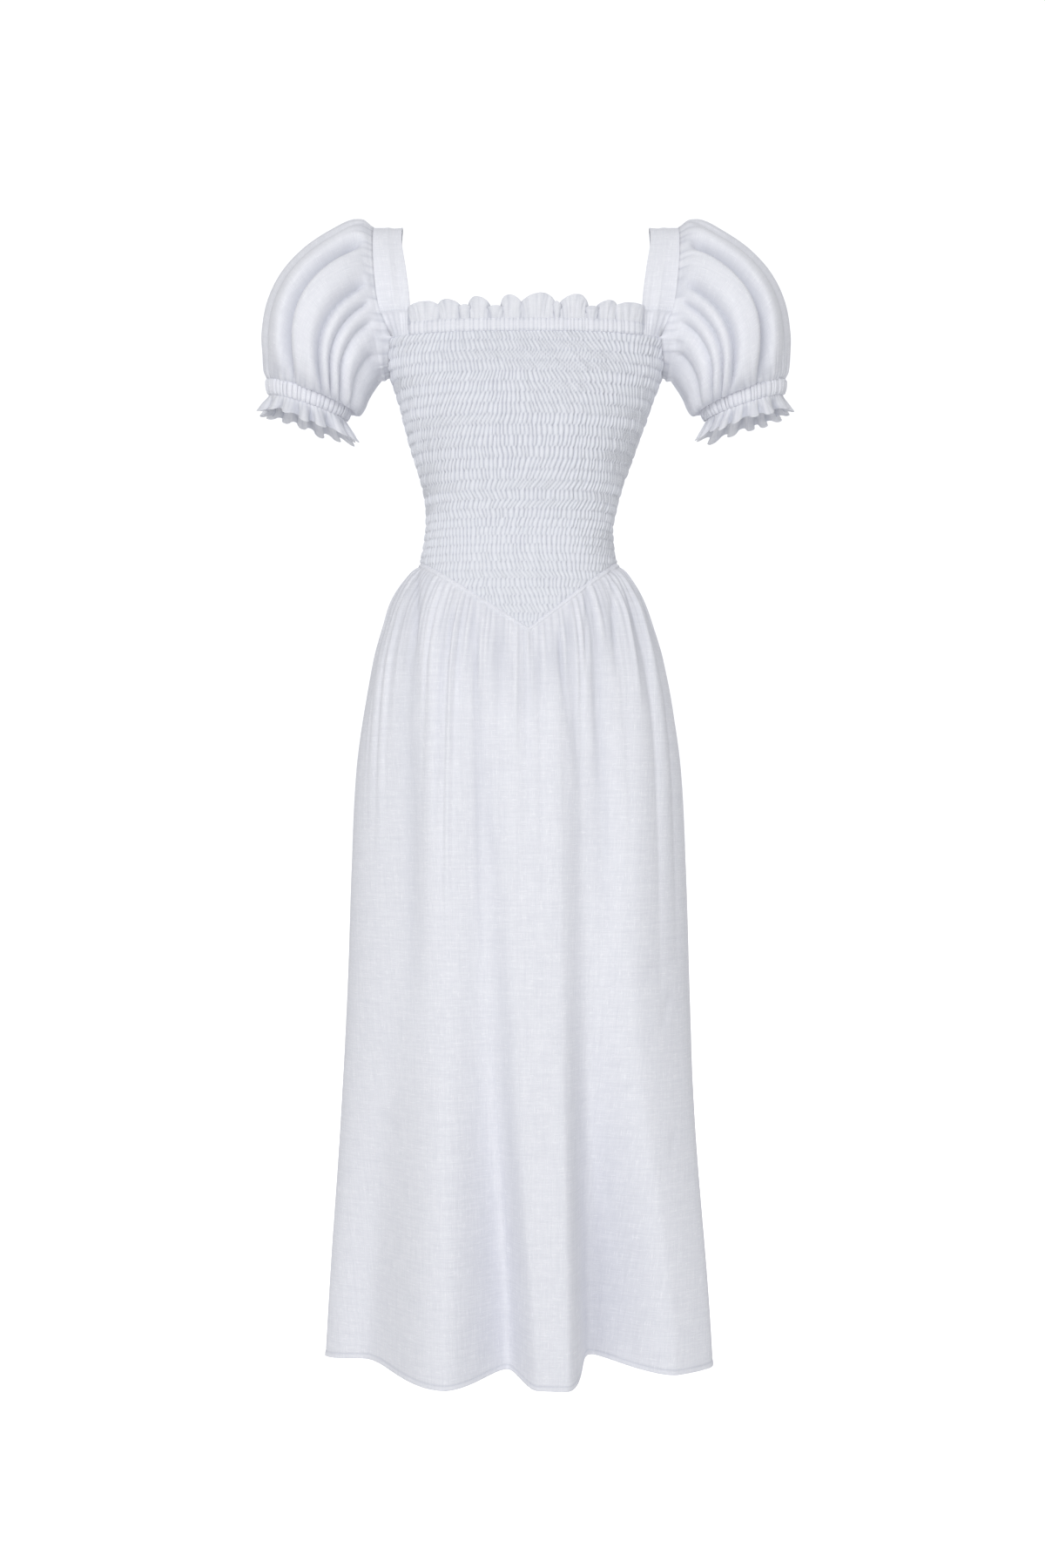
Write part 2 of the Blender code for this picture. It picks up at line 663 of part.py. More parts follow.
def neck_ruffle(name, facing):
    """The free linen edge above the casing, waving out and in."""
    base = BODICE_TOP + CASING_HEIGHT + SEAM_GAP
    columns = NECK_RUFFLE_COLUMNS
    rows = ((1.0, 1.0), (0.5, 0.6), (0.0, 0.15))
    outer = []
    for height, swing in rows:
        line = []
        for c in range(columns + 1):
            share = 2 * c / columns - 1
            wave = math.cos(math.pi * NECK_RUFFLE_WAVES * share)
            scallop = NECK_RUFFLE_SCALLOP * wave * height
            z = base + NECK_RUFFLE_HEIGHT * height + scallop
            stand = NECK_RUFFLE_STANDOFF + NECK_RUFFLE_SWING * swing * wave + NECK_RUFFLE_FLARE * height
            point = neck_line(share, BODICE_TOP + CASING_HEIGHT, facing, stand)
            line.append(Vector((point.x, point.y, z)))
        outer.append(line)
    normals = grid_normals(outer, closed=False)
    inner = moved(outer, normals, RUFFLE_CLOTH * facing)
    for point, plain in zip(inner[-1], outer[-1]):
        point.z = plain.z
    return cloth_wall(name, outer, inner, RUFFLE_WHITE)


def long_fold_height(folds, place, share):
    """Height of the skirt's long folds at a place across it and a share of the way down."""
    fall = smooth_step(*FOLDS_SWAY, share)
    rise = smooth_step(*FOLDS_RISE, share)
    rows = [
        RoundFold(mix(f.middle_place, f.hem_place, fall), mix(f.middle_height, f.hem_height, fall) * rise)
        for f in folds
    ]
    for first, second in zip(rows, rows[1:]):
        if first.angle <= place <= second.angle:
            return mix(first.height, second.height, smooth_step(first.angle, second.angle, place))
    return rows[-1].height


def skirt_point(place, share, facing, folds, ripple):
    """A point on the skirt's outer face."""
    side = on_curve(TORSO, SIDE_WAIST)
    seam_z = SIDE_WAIST
    for _ in range(12):
        seam = torso_point(place, seam_z, facing)
        seam_z = waist_seam_z(seam.x, facing)
    section = on_curve(SKIRT, share)
    depth = section.front_depth if facing < 0 else section.back_depth
    power = mix(TORSO_SQUARENESS, SKIRT_SQUARENESS, smooth_step(0, 0.3, share))
    x, out = oval(place, section.half_width, depth, power)
    centre = mix(side.centre_x, SKIRT_CENTRE_X, share)
    waist = SKIRT[0]
    waist_depth = waist.front_depth if facing < 0 else waist.back_depth
    waist_x, waist_out = oval(place, waist.half_width, waist_depth, TORSO_SQUARENESS)
    near = 1 - smooth_step(0, SEAM_SHAPE_END, share)
    point = Vector((
        centre + x + near * (seam.x - side.centre_x - waist_x),
        facing * out + near * (seam.y - facing * waist_out),
        0,
    ))
    lean = Vector((x / section.half_width**2, facing * out / depth**2, 0)).normalized()
    gather = ripple * (0.5 + smooth_step(0, 0.02, share)) * (1 - smooth_step(*GATHERS_FADE, share))
    fold = long_fold_height(folds, place, share)
    point += lean * (SMOCKED_LINEN + fold + gather)
    point.z = mix(seam_z, HEM, share) - HEM_DROP * fold * share
    return point


def seam_place(facing):
    """The place across the panel whose waist seam holds the point, or the middle behind."""
    if facing > 0:
        return 0.0
    place = 0.0
    for _ in range(20):
        place += (POINT_X - torso_point(place, POINT_WAIST, facing).x) * 5.0
    return place


def skirt_panel(name, facing, folds, gathers):
    """A skirt panel, gathered at the waist seam and hemmed, from side seam to side seam."""
    half = gathers
    middle = seam_place(facing)
    places = [mix(-1, middle, c / half) for c in range(half)]
    places += [mix(middle, 1, c / half) for c in range(half + 1)]
    outer = []
    for share in SKIRT_ROWS:
        outer.append([
            skirt_point(u, share, facing, folds, SKIRT_GATHER * (-1) ** c)
            for c, u in enumerate(places)
        ])
    inner = moved(outer, grid_normals(outer, closed=False), LINEN * facing)
    for grid in (outer, inner):
        if facing < 0:
            grid[0][half].x = POINT_X
        for point in grid[0]:
            point.z = waist_seam_z(point.x, facing) - SEAM_GAP
        for row in grid:
            row[0].y = row[-1].y = facing * SEAM_GAP / 2
    for point, hem_point in zip(inner[-1], outer[-1]):
        point.z = hem_point.z
    return cloth_wall(name, outer, inner, SKIRT_WHITE)


def build_dress():
    armhole = armhole_cutter()
    front = bodice_panel("bodice_front", -1, smocking_levels(POINT_WAIST - 0.002))
    cut_away(front, armhole)
    cut_away(front, waist_cutter())
    back_levels = [z for z in smocking_levels(SIDE_WAIST) if z > SIDE_WAIST + 0.002] + [SIDE_WAIST]
    back = bodice_panel("bodice_back", 1, back_levels)
    cut_away(back, armhole)
    for facing, word in ((-1, "front"), (1, "back")):
        neck_casing(f"neck_casing_{word}", facing)
        neck_ruffle(f"neck_ruffle_{word}", facing)
    for side, word in ((-1, "right"), (1, "left")):
        strap(f"strap_{word}", side)
        sleeve(f"sleeve_{word}", side)
        cuff(f"cuff_{word}", side)
        cuff_ruffle(f"cuff_ruffle_{word}", side)
    skirt_panel("skirt_front", -1, FRONT_FOLDS, FRONT_GATHERS)
    skirt_panel("skirt_back", 1, BACK_FOLDS, BACK_GATHERS)


for old in list(bpy.data.objects):
    bpy.data.objects.remove(old)
build_dress()
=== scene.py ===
import math
from collections import namedtuple

import bpy
import numpy as np
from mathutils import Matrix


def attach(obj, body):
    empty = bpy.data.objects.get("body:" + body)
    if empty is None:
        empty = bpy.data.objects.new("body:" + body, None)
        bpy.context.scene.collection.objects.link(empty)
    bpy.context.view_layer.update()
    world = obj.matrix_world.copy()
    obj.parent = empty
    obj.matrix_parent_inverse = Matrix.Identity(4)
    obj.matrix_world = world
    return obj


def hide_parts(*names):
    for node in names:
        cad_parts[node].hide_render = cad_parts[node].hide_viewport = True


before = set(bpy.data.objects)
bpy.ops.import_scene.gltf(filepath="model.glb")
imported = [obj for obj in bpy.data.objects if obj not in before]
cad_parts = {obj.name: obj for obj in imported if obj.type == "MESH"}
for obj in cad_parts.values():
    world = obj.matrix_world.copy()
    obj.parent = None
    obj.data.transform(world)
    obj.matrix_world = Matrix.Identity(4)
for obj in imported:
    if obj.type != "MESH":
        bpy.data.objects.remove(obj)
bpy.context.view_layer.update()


# Studio
# A wide white floor in a white room. A broad soft light stands in front, above the camera and to
# its left, and a weaker one behind. Floor and room burn out to pure white in the picture.
FLOOR_Z = -1.45
FLOOR_WIDTH = 60.0
FLOOR_GLOW = 0.1
FLOOR_GLOW_IN_PICTURE = 0.8
ROOM_LIGHT = 0.46
ROOM_IN_PICTURE = 1.1
CAMERA_PLACE = (-0.002, -3.0, -0.638)
LAMP_SIZE = (3.0, 2.4)
LAMP_TILT = 64


def put_points(piece, co):
    piece.data.vertices.foreach_set("co", np.asarray(co, np.float32).ravel())
    piece.data.update()


def read_points(piece):
    co = np.empty(len(piece.data.vertices) * 3, np.float32)
    piece.data.vertices.foreach_get("co", co)
    return co.reshape(-1, 3).astype(float)


def lay_grid(name, columns, rows):
    """A flat grid of one unit, alone in the selection, with its points from -0.5 to 0.5."""
    bpy.ops.object.select_all(action="DESELECT")
    bpy.ops.mesh.primitive_grid_add(x_subdivisions=columns, y_subdivisions=rows, size=1)
    piece = bpy.context.object
    piece.name = piece.data.name = name
    bpy.ops.object.shade_smooth()
    return piece


def feed(tree, node, inputs):
    """Gives each input of a node its plain value, or the socket that feeds it."""
    for name, value in inputs.items():
        if isinstance(value, bpy.types.NodeSocket):
            tree.links.new(value, node.inputs[name])
        else:
            node.inputs[name].default_value = value


def new_node(tree, kind, inputs=None, **settings):
    node = tree.nodes.new(kind)
    for name, value in settings.items():
        setattr(node, name, value)
    feed(tree, node, inputs or {})
    return node


def new_finish(name):
    """A new material, with its node tree and its shader."""
    material = bpy.data.materials.new(name)
    material.use_nodes = True
    return material, material.node_tree, material.node_tree.nodes["Principled BSDF"]


def burnt_out(tree, elsewhere, in_picture):
    """A strength that is greater where the picture shows a thing than in the light it gives."""
    ray = new_node(tree, "ShaderNodeLightPath").outputs["Is Camera Ray"]
    steps = {"Value": ray, "To Min": elsewhere, "To Max": in_picture}
    return new_node(tree, "ShaderNodeMapRange", steps).outputs["Result"]


floor = lay_grid("floor", 2, 2)
put_points(floor, read_points(floor) * FLOOR_WIDTH + np.array([0, 0, FLOOR_Z]))
floor_white, floor_tree, floor_shader = new_finish("floor_white")
feed(floor_tree, floor_shader, {
    "Base Color": (0.9, 0.9, 0.9, 1),
    "Roughness": 0.9,
    "Emission Color": (1, 1, 1, 1),
    "Emission Strength": burnt_out(floor_tree, FLOOR_GLOW, FLOOR_GLOW_IN_PICTURE),
})
floor.data.materials.append(floor_white)

bpy.ops.object.camera_add(location=CAMERA_PLACE, rotation=(math.pi / 2, 0, 0))
camera = bpy.context.object
camera.data.lens = 60
camera.data.sensor_width = 36
bpy.context.scene.camera = camera


def soft_light(place, power, turn):
    """A broad lamp that leans down to the dress."""
    bpy.ops.object.light_add(type="AREA", location=place)
    lamp = bpy.context.object
    lamp.data.shape = "RECTANGLE"
    lamp.data.size, lamp.data.size_y = LAMP_SIZE
    lamp.data.energy = power
    lamp.rotation_euler = (math.radians(LAMP_TILT), 0, math.radians(turn))


soft_light((-0.65, -4.4, 1.6), power=106, turn=-8.5)
soft_light((0.65, 4.4, 1.6), power=85, turn=171.5)

room = bpy.data.worlds.new("white_room")
bpy.context.scene.world = room
room.use_nodes = True
feed(room.node_tree, room.node_tree.nodes["Background"], {
    "Color": (0.97, 0.98, 1.0, 1),
    "Strength": burnt_out(room.node_tree, ROOM_LIGHT, ROOM_IN_PICTURE),
})
bpy.context.scene.view_settings.view_transform = "Standard"


# Smocked bodice, front
# One panel of fine linen, drawn up by about thirty rows of elastic thread into small upright puffs.
# It is cut straight along the neck, hollowed for the armholes, and ends below in a point.
BODICE_TOP = -0.1333
SIDE_WAIST = -0.387
POINT_WAIST = -0.466
POINT_X = 0.005
SEAM_GAP = 0.0003
TORSO_SQUARENESS = 2.5
BUST_Z = -0.24


def in_mm(kind, lengths, *rows):
    """A table's rows, each as kind, with the columns that are lengths written in millimetres."""
    units = [1000 if name in lengths else 1 for name in kind._fields]
    return [kind(*(value / unit for value, unit in zip(row, units))) for row in rows]


TorsoSection = namedtuple("TorsoSection", "z half_width front_depth back_depth centre_x")
TORSO = in_mm(
    TorsoSection, TorsoSection._fields,
    (-510, 150, 109, 115, -5),
    (-470, 138, 105.5, 108, -5.5),
    (-430, 125, 100, 98, -6),
    (-387, 110.5, 92.5, 86, -6.5),
    (-353, 104.5, 89, 80, -6),
    (-323, 106, 94, 83, -3.5),
    (-293, 113, 102, 88.5, -2),
    (-263, 123, 109, 94, -1),
    (-233, 132.5, 114, 98, 0),
    (-203, 141.5, 114, 100, 1.5),
    (-170, 153, 108, 98, 2),
    (-133, 160, 98, 92, 2),
    (-90, 166, 90, 86, 2),
)
ARMHOLE_HALF_DEPTH = 0.055
ARMHOLE_HALF_HEIGHT = 0.0855
ARMHOLE_CENTRE_Z = -ARMHOLE_HALF_HEIGHT
ROW_PITCH_BUST = 0.012
ROW_PITCH_WAIST = 0.0097
BUST_ROWS_END = -0.27
WAIST_ROWS_START = -0.34
PUFF_NARROW = 0.0036
PUFF_WIDE = 0.0062
PUFF_HEIGHT = 0.0038
PUFFS_A_ROW = 150
ROW_SWELL = 0.0002
STEPS_A_ROW = 5
CLOTH_LIFT = 0.001
WALL_INSIDE = 0.0004
PINCH = 0.0035


def ease(low, high, value):
    share = np.clip((value - low) / (high - low), 0.0, 1.0)
    return share * share * (3.0 - 2.0 * share)


def mix(a, b, share):
    return a + (b - a) * share


def on_curve(rows, key):
    """The table's columns at each key, on a smooth curve through its rows."""
    table = np.array(rows, float)
    keys, columns = table[:, 0], table[:, 1:]
    after = np.minimum(np.arange(len(keys)) + 1, len(keys) - 1)
    before = np.maximum(np.arange(len(keys)) - 1, 0)
    slopes = (columns[after] - columns[before]) / (keys[after] - keys[before])[:, None]
    key = np.clip(np.atleast_1d(key), keys[0], keys[-1])
    i = np.clip(np.searchsorted(keys, key, side="right") - 1, 0, len(keys) - 2)
    span = (keys[i + 1] - keys[i])[:, None]
    share = (key - keys[i])[:, None] / span
    start = 2 * share**3 - 3 * share**2 + 1
    bent = slopes[i] * (share**3 - 2 * share**2 + share) + slopes[i + 1] * (share**3 - share**2)
    return (start * columns[i] + (1 - start) * columns[i + 1] + span * bent).T


def oval(place, half_width, depth, power):
    """A quarter turn each way from straight ahead: place -1 to 1 gives x and how far out it is."""
    across, ahead = np.sin(place * math.pi / 2), np.abs(np.cos(place * math.pi / 2))
    reach = ((np.abs(across) / half_width) ** power + (ahead / depth) ** power) ** (-1 / power)
    return reach * across, reach * ahead


def lift_off(aside, ahead, half_width, depth, lift):
    """How far sideways and out a lift carries a point of the torso, of which aside and ahead are
    the shares of its half width and its depth."""
    lean_x = np.sign(aside) * np.abs(aside) ** (TORSO_SQUARENESS - 1) / half_width
    lean_out = ahead ** (TORSO_SQUARENESS - 1) / depth
    size = np.hypot(lean_x, lean_out)
    return lift * lean_x / size, lift * lean_out / size


def torso_point(place, z, facing, lift=0.0):
    """x and y on the torso at a place across the front (facing -1) or the back (1)."""
    half_width, front_depth, back_depth, centre_x = on_curve(TORSO, z)
    depth = front_depth if facing < 0 else back_depth
    x, out = oval(place, half_width, depth, TORSO_SQUARENESS)
    lift_x, lift_out = lift_off(x / half_width, out / depth, half_width, depth, lift)
    return centre_x + x + lift_x, facing * (out + lift_out)


def waist_seam_z(x, facing):
    """The waist seam is level behind and dips to a point in front."""
    if facing > 0:
        return np.full_like(x, SIDE_WAIST)
    half_width, _, _, centre_x = on_curve(TORSO, SIDE_WAIST)[:, 0]
    side_x = centre_x + np.sign(x - POINT_X) * half_width
    return POINT_WAIST + (SIDE_WAIST - POINT_WAIST) * (x - POINT_X) / (side_x - POINT_X)


def panel_edges(place, facing):
    """The heights between which a bodice panel runs at each place across it."""
    top = np.full_like(place, BODICE_TOP)
    bottom = np.full_like(place, SIDE_WAIST)
    for _ in range(30):
        _, y = torso_point(place, top, facing)
        hollow = np.sqrt(np.clip(1 - (y / ARMHOLE_HALF_DEPTH) ** 2, 0, 1))
        edge = ARMHOLE_CENTRE_Z - ARMHOLE_HALF_HEIGHT * hollow
        top = mix(top, np.minimum(BODICE_TOP, edge), 0.5)
        x, _ = torso_point(place, bottom, facing)
        bottom = mix(bottom, waist_seam_z(x, facing), 0.7)
    return top, bottom


def evened_places(facing):
    """What spreads a panel's columns evenly along the cloth, and the cloth's length at the bust."""
    places = np.linspace(-1, 1, 1201)
    x, y = torso_point(places, np.full_like(places, BUST_Z), facing)
    run = np.concatenate([[0], np.cumsum(np.hypot(np.diff(x), np.diff(y)))])

    def place_at(across):
        place = np.interp(-facing * across, 2 * run / run[-1] - 1, places)
        return np.where(np.abs(across) >= 1, -facing * np.sign(across), place)

    return place_at, run[-1]


def elastic_rows(bottom):
    """Heights of the rows of elastic thread, from the neck down."""
    rows = [BODICE_TOP]
    while rows[-1] > bottom:
        share = ease(-BUST_ROWS_END, -WAIST_ROWS_START, -rows[-1])
        rows.append(rows[-1] - mix(ROW_PITCH_BUST, ROW_PITCH_WAIST, share))
    return np.array(rows)


def smocking_relief(across, z, rows, half_girth, seed):
    """Each row has its own puffs, of uneven width, which lean with the pull. Returns how high the
    cloth stands and how far its row draws it in, both from 0 to 1, and the shade painted in its
    creases and along its rows."""
    chance = np.random.default_rng(seed)
    k = np.clip(np.searchsorted(-rows, -z + 1e-7, side="right") - 1, 0, len(rows) - 2)
    pitch = rows[k] - rows[k + 1]
    down = np.clip((rows[k] - z) / pitch, 0, 1)
    s = across * half_girth
    lean = 0.34 * np.sin(s * 17 + z * 21 + seed) + 0.2 * np.sin(s * 41 - z * 33)
    lean += 0.2 * chance.standard_normal(len(rows))[k]
    lean += 0.55 * ease(-0.3, -0.16, z) * ease(0.14, 0.03, np.abs(s))
    lean -= 0.5 * ease(0.02, 0.12, -s) * ease(-0.2, -0.3, z)
    s = s + lean * (0.5 - down) * pitch
    height, crease = np.zeros_like(z), np.zeros_like(z)
    for row in range(len(rows) - 1):
        widths = chance.uniform(PUFF_NARROW, PUFF_WIDE, PUFFS_A_ROW)
        heights = chance.uniform(0.45, 1.0, PUFFS_A_ROW)
        edges = np.cumsum(widths)
        edges -= edges[-1] / 2
        mine = k == row
        i = np.clip(np.searchsorted(edges, s[mine]), 1, PUFFS_A_ROW - 1)
        share = np.clip((s[mine] - edges[i - 1]) / widths[i], 0, 1)
        profile = np.sin(math.pi * share) ** 0.6
        height[mine] = heights[i] * profile
        crease[mine] = 1 - profile
    drawn_in = np.sin(math.pi * down) ** 0.5
    # Painted shade, darker in the creases between puffs and along each row of elastic.
    painted_shade = 1.25 * crease**1.4 + (1 - drawn_in) * (0.06 + 0.9 * crease)
    shallow = 1 - 0.25 * ease(-0.24, -0.4, z)
    return height * (0.68 + 0.32 * drawn_in) * shallow, drawn_in, painted_shade * shallow**1.6


def lay_cloth(name, columns, rows, form):
    """A sheet of columns by rows. Its points, its UV map in metres of cloth, and the shade painted
    at each point, kept from 0 to 1, come from form."""
    piece = lay_grid(name, columns, rows)
    co = read_points(piece)
    across = np.round(co[:, 0] * 2, 7)
    step = np.round((0.5 - co[:, 1]) * rows).astype(int)
    points, cloth, painted_shade = form(across, step)
    put_points(piece, points)
    corner = np.empty(len(piece.data.loops), np.int32)
    piece.data.loops.foreach_get("vertex_index", corner)
    piece.data.uv_layers[0].data.foreach_set("uv", cloth[corner].astype(np.float32).ravel())
    # Painted shade: how far each point's colour is darkened, where shade falls in tucks, creases
    # and seams.
    tucks = piece.data.attributes.new("painted_shade", "FLOAT", "POINT")
    tucks.data.foreach_set("value", np.clip(painted_shade, 0, 1).astype(np.float32))
    return piece


def sew_shut(piece, merge=0.00002, fill=True):
    """Merges what meets, drops what has shrunk to nothing, and closes the side rims."""
    bpy.ops.object.mode_set(mode="EDIT")
    bpy.ops.mesh.select_all(action="SELECT")
    bpy.ops.mesh.remove_doubles(threshold=merge)
    bpy.ops.mesh.dissolve_degenerate(threshold=merge)
    if fill:
        bpy.ops.mesh.select_all(action="DESELECT")
        bpy.ops.mesh.select_mode(type="EDGE")
        bpy.ops.mesh.select_non_manifold(
            extend=False, use_wire=False, use_boundary=True, use_multi_face=False,
            use_non_contiguous=False, use_verts=False,
        )
        bpy.ops.mesh.fill(use_beauty=False)
        bpy.ops.mesh.select_mode(type="VERT")
    bpy.ops.object.mode_set(mode="OBJECT")
    bpy.ops.object.shade_smooth()


def smocked_panel(name, facing, columns, inside_rows, seed):
    levels = elastic_rows(POINT_WAIST if facing < 0 else SIDE_WAIST)
    rows = (len(levels) - 1) * STEPS_A_ROW
    place_at, girth = evened_places(facing)
    ahead = 1 if facing < 0 else 2
    bust = on_curve(TORSO, BUST_Z)[:, 0]
    stops = np.arange(len(levels)) * STEPS_A_ROW

    def form(across, step):
        place = place_at(across)
        inside = (step > rows) & (step < rows + inside_rows + 2)
        back_step = (rows + inside_rows + 1 - step) / inside_rows * rows
        step = np.where(inside, back_step, np.where(step <= rows, step, 0))
        top, bottom = panel_edges(place, facing)
        z = np.clip(np.interp(step, stops, levels), bottom, top)
        sections = on_curve(TORSO, z)
        half_girth = girth / 2 * (sections[0] + sections[ahead]) / (bust[0] + bust[ahead])
        puff, swell, painted_shade = smocking_relief(across, z, levels, half_girth, seed)
        calm = ease(0, PINCH, z - bottom) * ease(0, PINCH, top - z)
        calm *= ease(0, PINCH, (1 - np.abs(across)) * half_girth)
        lift = CLOTH_LIFT + (PUFF_HEIGHT * puff + ROW_SWELL * swell) * calm
        x, y = torso_point(place, z, facing, np.where(inside, WALL_INSIDE, lift))
        y = np.where(np.abs(across) >= 1, facing * SEAM_GAP / 2, y)
        return np.stack([x, y, z], 1), np.stack([across * half_girth, z], 1), painted_shade

    piece = lay_cloth(name, columns, rows + inside_rows + 2, form)
    sew_shut(piece)
    return piece


def linen_weave_group():
    """Threads of uneven thickness, lengthways and crossways, and short slubs among them: how light
    and how high the cloth is."""
    group = bpy.data.node_groups.new("linen_weave", "ShaderNodeTree")
    for name, way, kind in (
        ("Cloth", "INPUT", "Vector"), ("Tone", "OUTPUT", "Float"), ("Height", "OUTPUT", "Float"),
    ):
        group.interface.new_socket(name, in_out=way, socket_type=f"NodeSocket{kind}")
    cloth = new_node(group, "NodeGroupInput").outputs["Cloth"]

    def threads(across, along, turned):
        scale = (along, across, 1) if turned else (across, along, 1)
        placed = new_node(group, "ShaderNodeMapping", {"Scale": scale, "Vector": cloth})
        inputs = {"Scale": 1, "Detail": 2, "Vector": placed.outputs["Vector"]}
        return new_node(group, "ShaderNodeTexNoise", inputs, noise_dimensions="2D").outputs["Fac"]

    def joined(operation, first, second):
        node = new_node(group, "ShaderNodeMath", {0: first, 1: second}, operation=operation)
        return node.outputs["Value"]

    fine = joined("ADD", threads(900.0, 50.0, False), threads(900.0, 50.0, True))
    coarse = joined("ADD", threads(330.0, 17.0, False), threads(330.0, 17.0, True))
    cloudy = threads(60.0, 45.0, False)
    tone = joined("ADD", joined("MULTIPLY", fine, 0.28), joined("MULTIPLY", coarse, 0.34))
    tone = joined("SUBTRACT", joined("ADD", tone, joined("MULTIPLY", cloudy, 0.2)), 0.22)
    for turned in (False, True):
        slub = joined("SUBTRACT", threads(1100.0, 95.0, turned), 0.63)
        slub = joined("MULTIPLY", joined("MAXIMUM", slub, 0.0), 4.0)
        tone = joined("ADD", tone, slub)
    new_node(group, "NodeGroupOutput", {"Tone": tone, "Height": fine})
    return group


linen_weave = linen_weave_group()


def mixed(tree, factor, first, second):
    steps = {"Factor": factor, "A": first, "B": second}
    return new_node(tree, "ShaderNodeMix", steps, data_type="RGBA").outputs["Result"]


def linen_finish(name, shade, light, weave_height):
    """Matt linen, lavender grey where its threads lie thin, white where they are thick, with shade
    painted into its tucks, creases and seams."""
    material, tree, shader = new_finish(name)
    cloth = new_node(tree, "ShaderNodeUVMap", uv_map="UVMap").outputs["UV"]
    weave = new_node(tree, "ShaderNodeGroup", node_tree=linen_weave)
    feed(tree, weave, {"Cloth": cloth})
    tint = mixed(tree, weave.outputs["Tone"], (*shade, 1), (*light, 1))
    # Painted shade: a point attribute darkens the colour towards the painted shade colour.
    depth = new_node(tree, "ShaderNodeAttribute", attribute_name="painted_shade").outputs["Fac"]
    steps = {"Strength": 0.35, "Distance": weave_height, "Height": weave.outputs["Height"]}
    feed(tree, shader, {
        "Roughness": 0.88,
        "Sheen Weight": 0.12,
        "Sheen Roughness": 0.6,
        "Specular IOR Level": 0.25,
        "Base Color": mixed(tree, depth, tint, (*PAINTED_SHADE_COLOUR, 1)),
        "Normal": new_node(tree, "ShaderNodeBump", steps).outputs["Normal"],
    })
    return material


# The colour of the shade painted into tucks, creases, folds and seams.
PAINTED_SHADE_COLOUR = (0.56, 0.575, 0.64)
# Its light threads are a little darker than the plain linen's: painted shade among the smocked
# puffs.
smocked_linen = linen_finish("smocked_linen", (0.76, 0.78, 0.83), (0.87, 0.88, 0.925), 0.0002)


def put_on(piece, node, finish):
    """Gives a finished piece its cloth, and hangs it on the dress in its solid's place."""
    piece.data.materials.clear()
    piece.data.materials.append(finish)
    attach(piece, "root")
    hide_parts(node)


THREAD_WIDTH = 0.00075
THREAD_HEIGHT = 0.0006


def thread_finish():
    """Cotton thread, twisted, so it is lighter and darker along each stitch."""
    material, tree, shader = new_finish("cotton_thread")
    place = new_node(tree, "ShaderNodeTexCoord").outputs["Object"]
    twist = new_node(tree, "ShaderNodeTexNoise", {"Scale": 1400, "Vector": place}).outputs["Fac"]
    tint = mixed(tree, twist, (0.62, 0.64, 0.72, 1), (0.84, 0.86, 0.92, 1))
    feed(tree, shader, {"Roughness": 0.7, "Sheen Weight": 0.15, "Base Color": tint})
    return material


cotton_thread = thread_finish()


def sew(name, path, pitch, length):
    """A row of stitches in one mesh. The path gives the cloth's points along it, moved out from the
    cloth by what it is told, and the shade painted on the cloth there."""
    bpy.ops.object.select_all(action="DESELECT")
    bpy.ops.mesh.primitive_uv_sphere_add(segments=6, ring_count=4, radius=0.5)
    stitch = bpy.context.object
    form = read_points(stitch) * [length, THREAD_WIDTH, THREAD_HEIGHT]
    corners = [tuple(face.vertices) for face in stitch.data.polygons]
    line, above = path(0.0)[0], path(0.001)[0]
    run = np.concatenate([[0], np.cumsum(np.linalg.norm(np.diff(line, axis=0), axis=1))])
    stops = np.arange(pitch / 2, run[-1], pitch)

    def at(rows, stop):
        return np.stack([np.interp(stop, run, rows[:, i]) for i in range(3)], 1)

    ahead = at(line, stops + length / 2) - at(line, stops - length / 2)
    ahead /= np.linalg.norm(ahead, axis=1)[:, None] + 1e-9
    away = at(above - line, stops)
    aside = np.cross(away, ahead)
    aside /= np.linalg.norm(aside, axis=1)[:, None]
    away = np.cross(ahead, aside)
    points = at(line, stops)[:, None] + form[:, :1] * ahead[:, None]
    points = points + form[:, 1:2] * aside[:, None] + form[:, 2:] * away[:, None]
    faces = [
        [corner + first for corner in face]
        for first in range(0, len(stops) * len(form), len(form))
        for face in corners
    ]
    row = bpy.data.meshes.new(name)
    row.from_pydata(points.reshape(-1, 3), [], faces)
    stitch.data = row
    stitch.name = name
    bpy.ops.object.shade_smooth()
    row.materials.append(cotton_thread)
    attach(stitch, "root")


front_smocking = smocked_panel("front_smocking", -1, columns=560, inside_rows=10, seed=4)
put_on(
    front_smocking, "bodice_front", smocked_linen,
)


# Smocked bodice, back
# The same fine linen and smocking, closed to the front at both side seams. Its neck edge is
# straight and its foot is level.
back_smocking = smocked_panel("back_smocking", 1, columns=440, inside_rows=8, seed=9)
put_on(
    back_smocking, "bodice_back", smocked_linen,
)


# Neck casings
# A narrow fold of linen over flat elastic, which gathers it. It finishes the neck of each smocked
# panel between the straps, and two rows of stitches hold the elastic in.
CASING_HEIGHT = 0.013
UPPER_CENTRE_X = 0.002
NECK_HALF_WIDTH = {-1: 0.129, 1: 0.135}
NECK_SEAM_REACH = 1.03
CASING_EDGE = 0.0022
CASING_BULGE = 0.0016
CASING_GATHER = 0.0018
CASING_TUCKS = 54
CASING_NOTCH = 0.0005
CASING_TURNED_IN = 0.0008
CASING_THICKNESS = 0.0014
CASING_ROWS_OF_STITCHES = (0.12, 0.86)
CASING_OVERLAP = 0.0005
CASING_FOOT = 0.0022


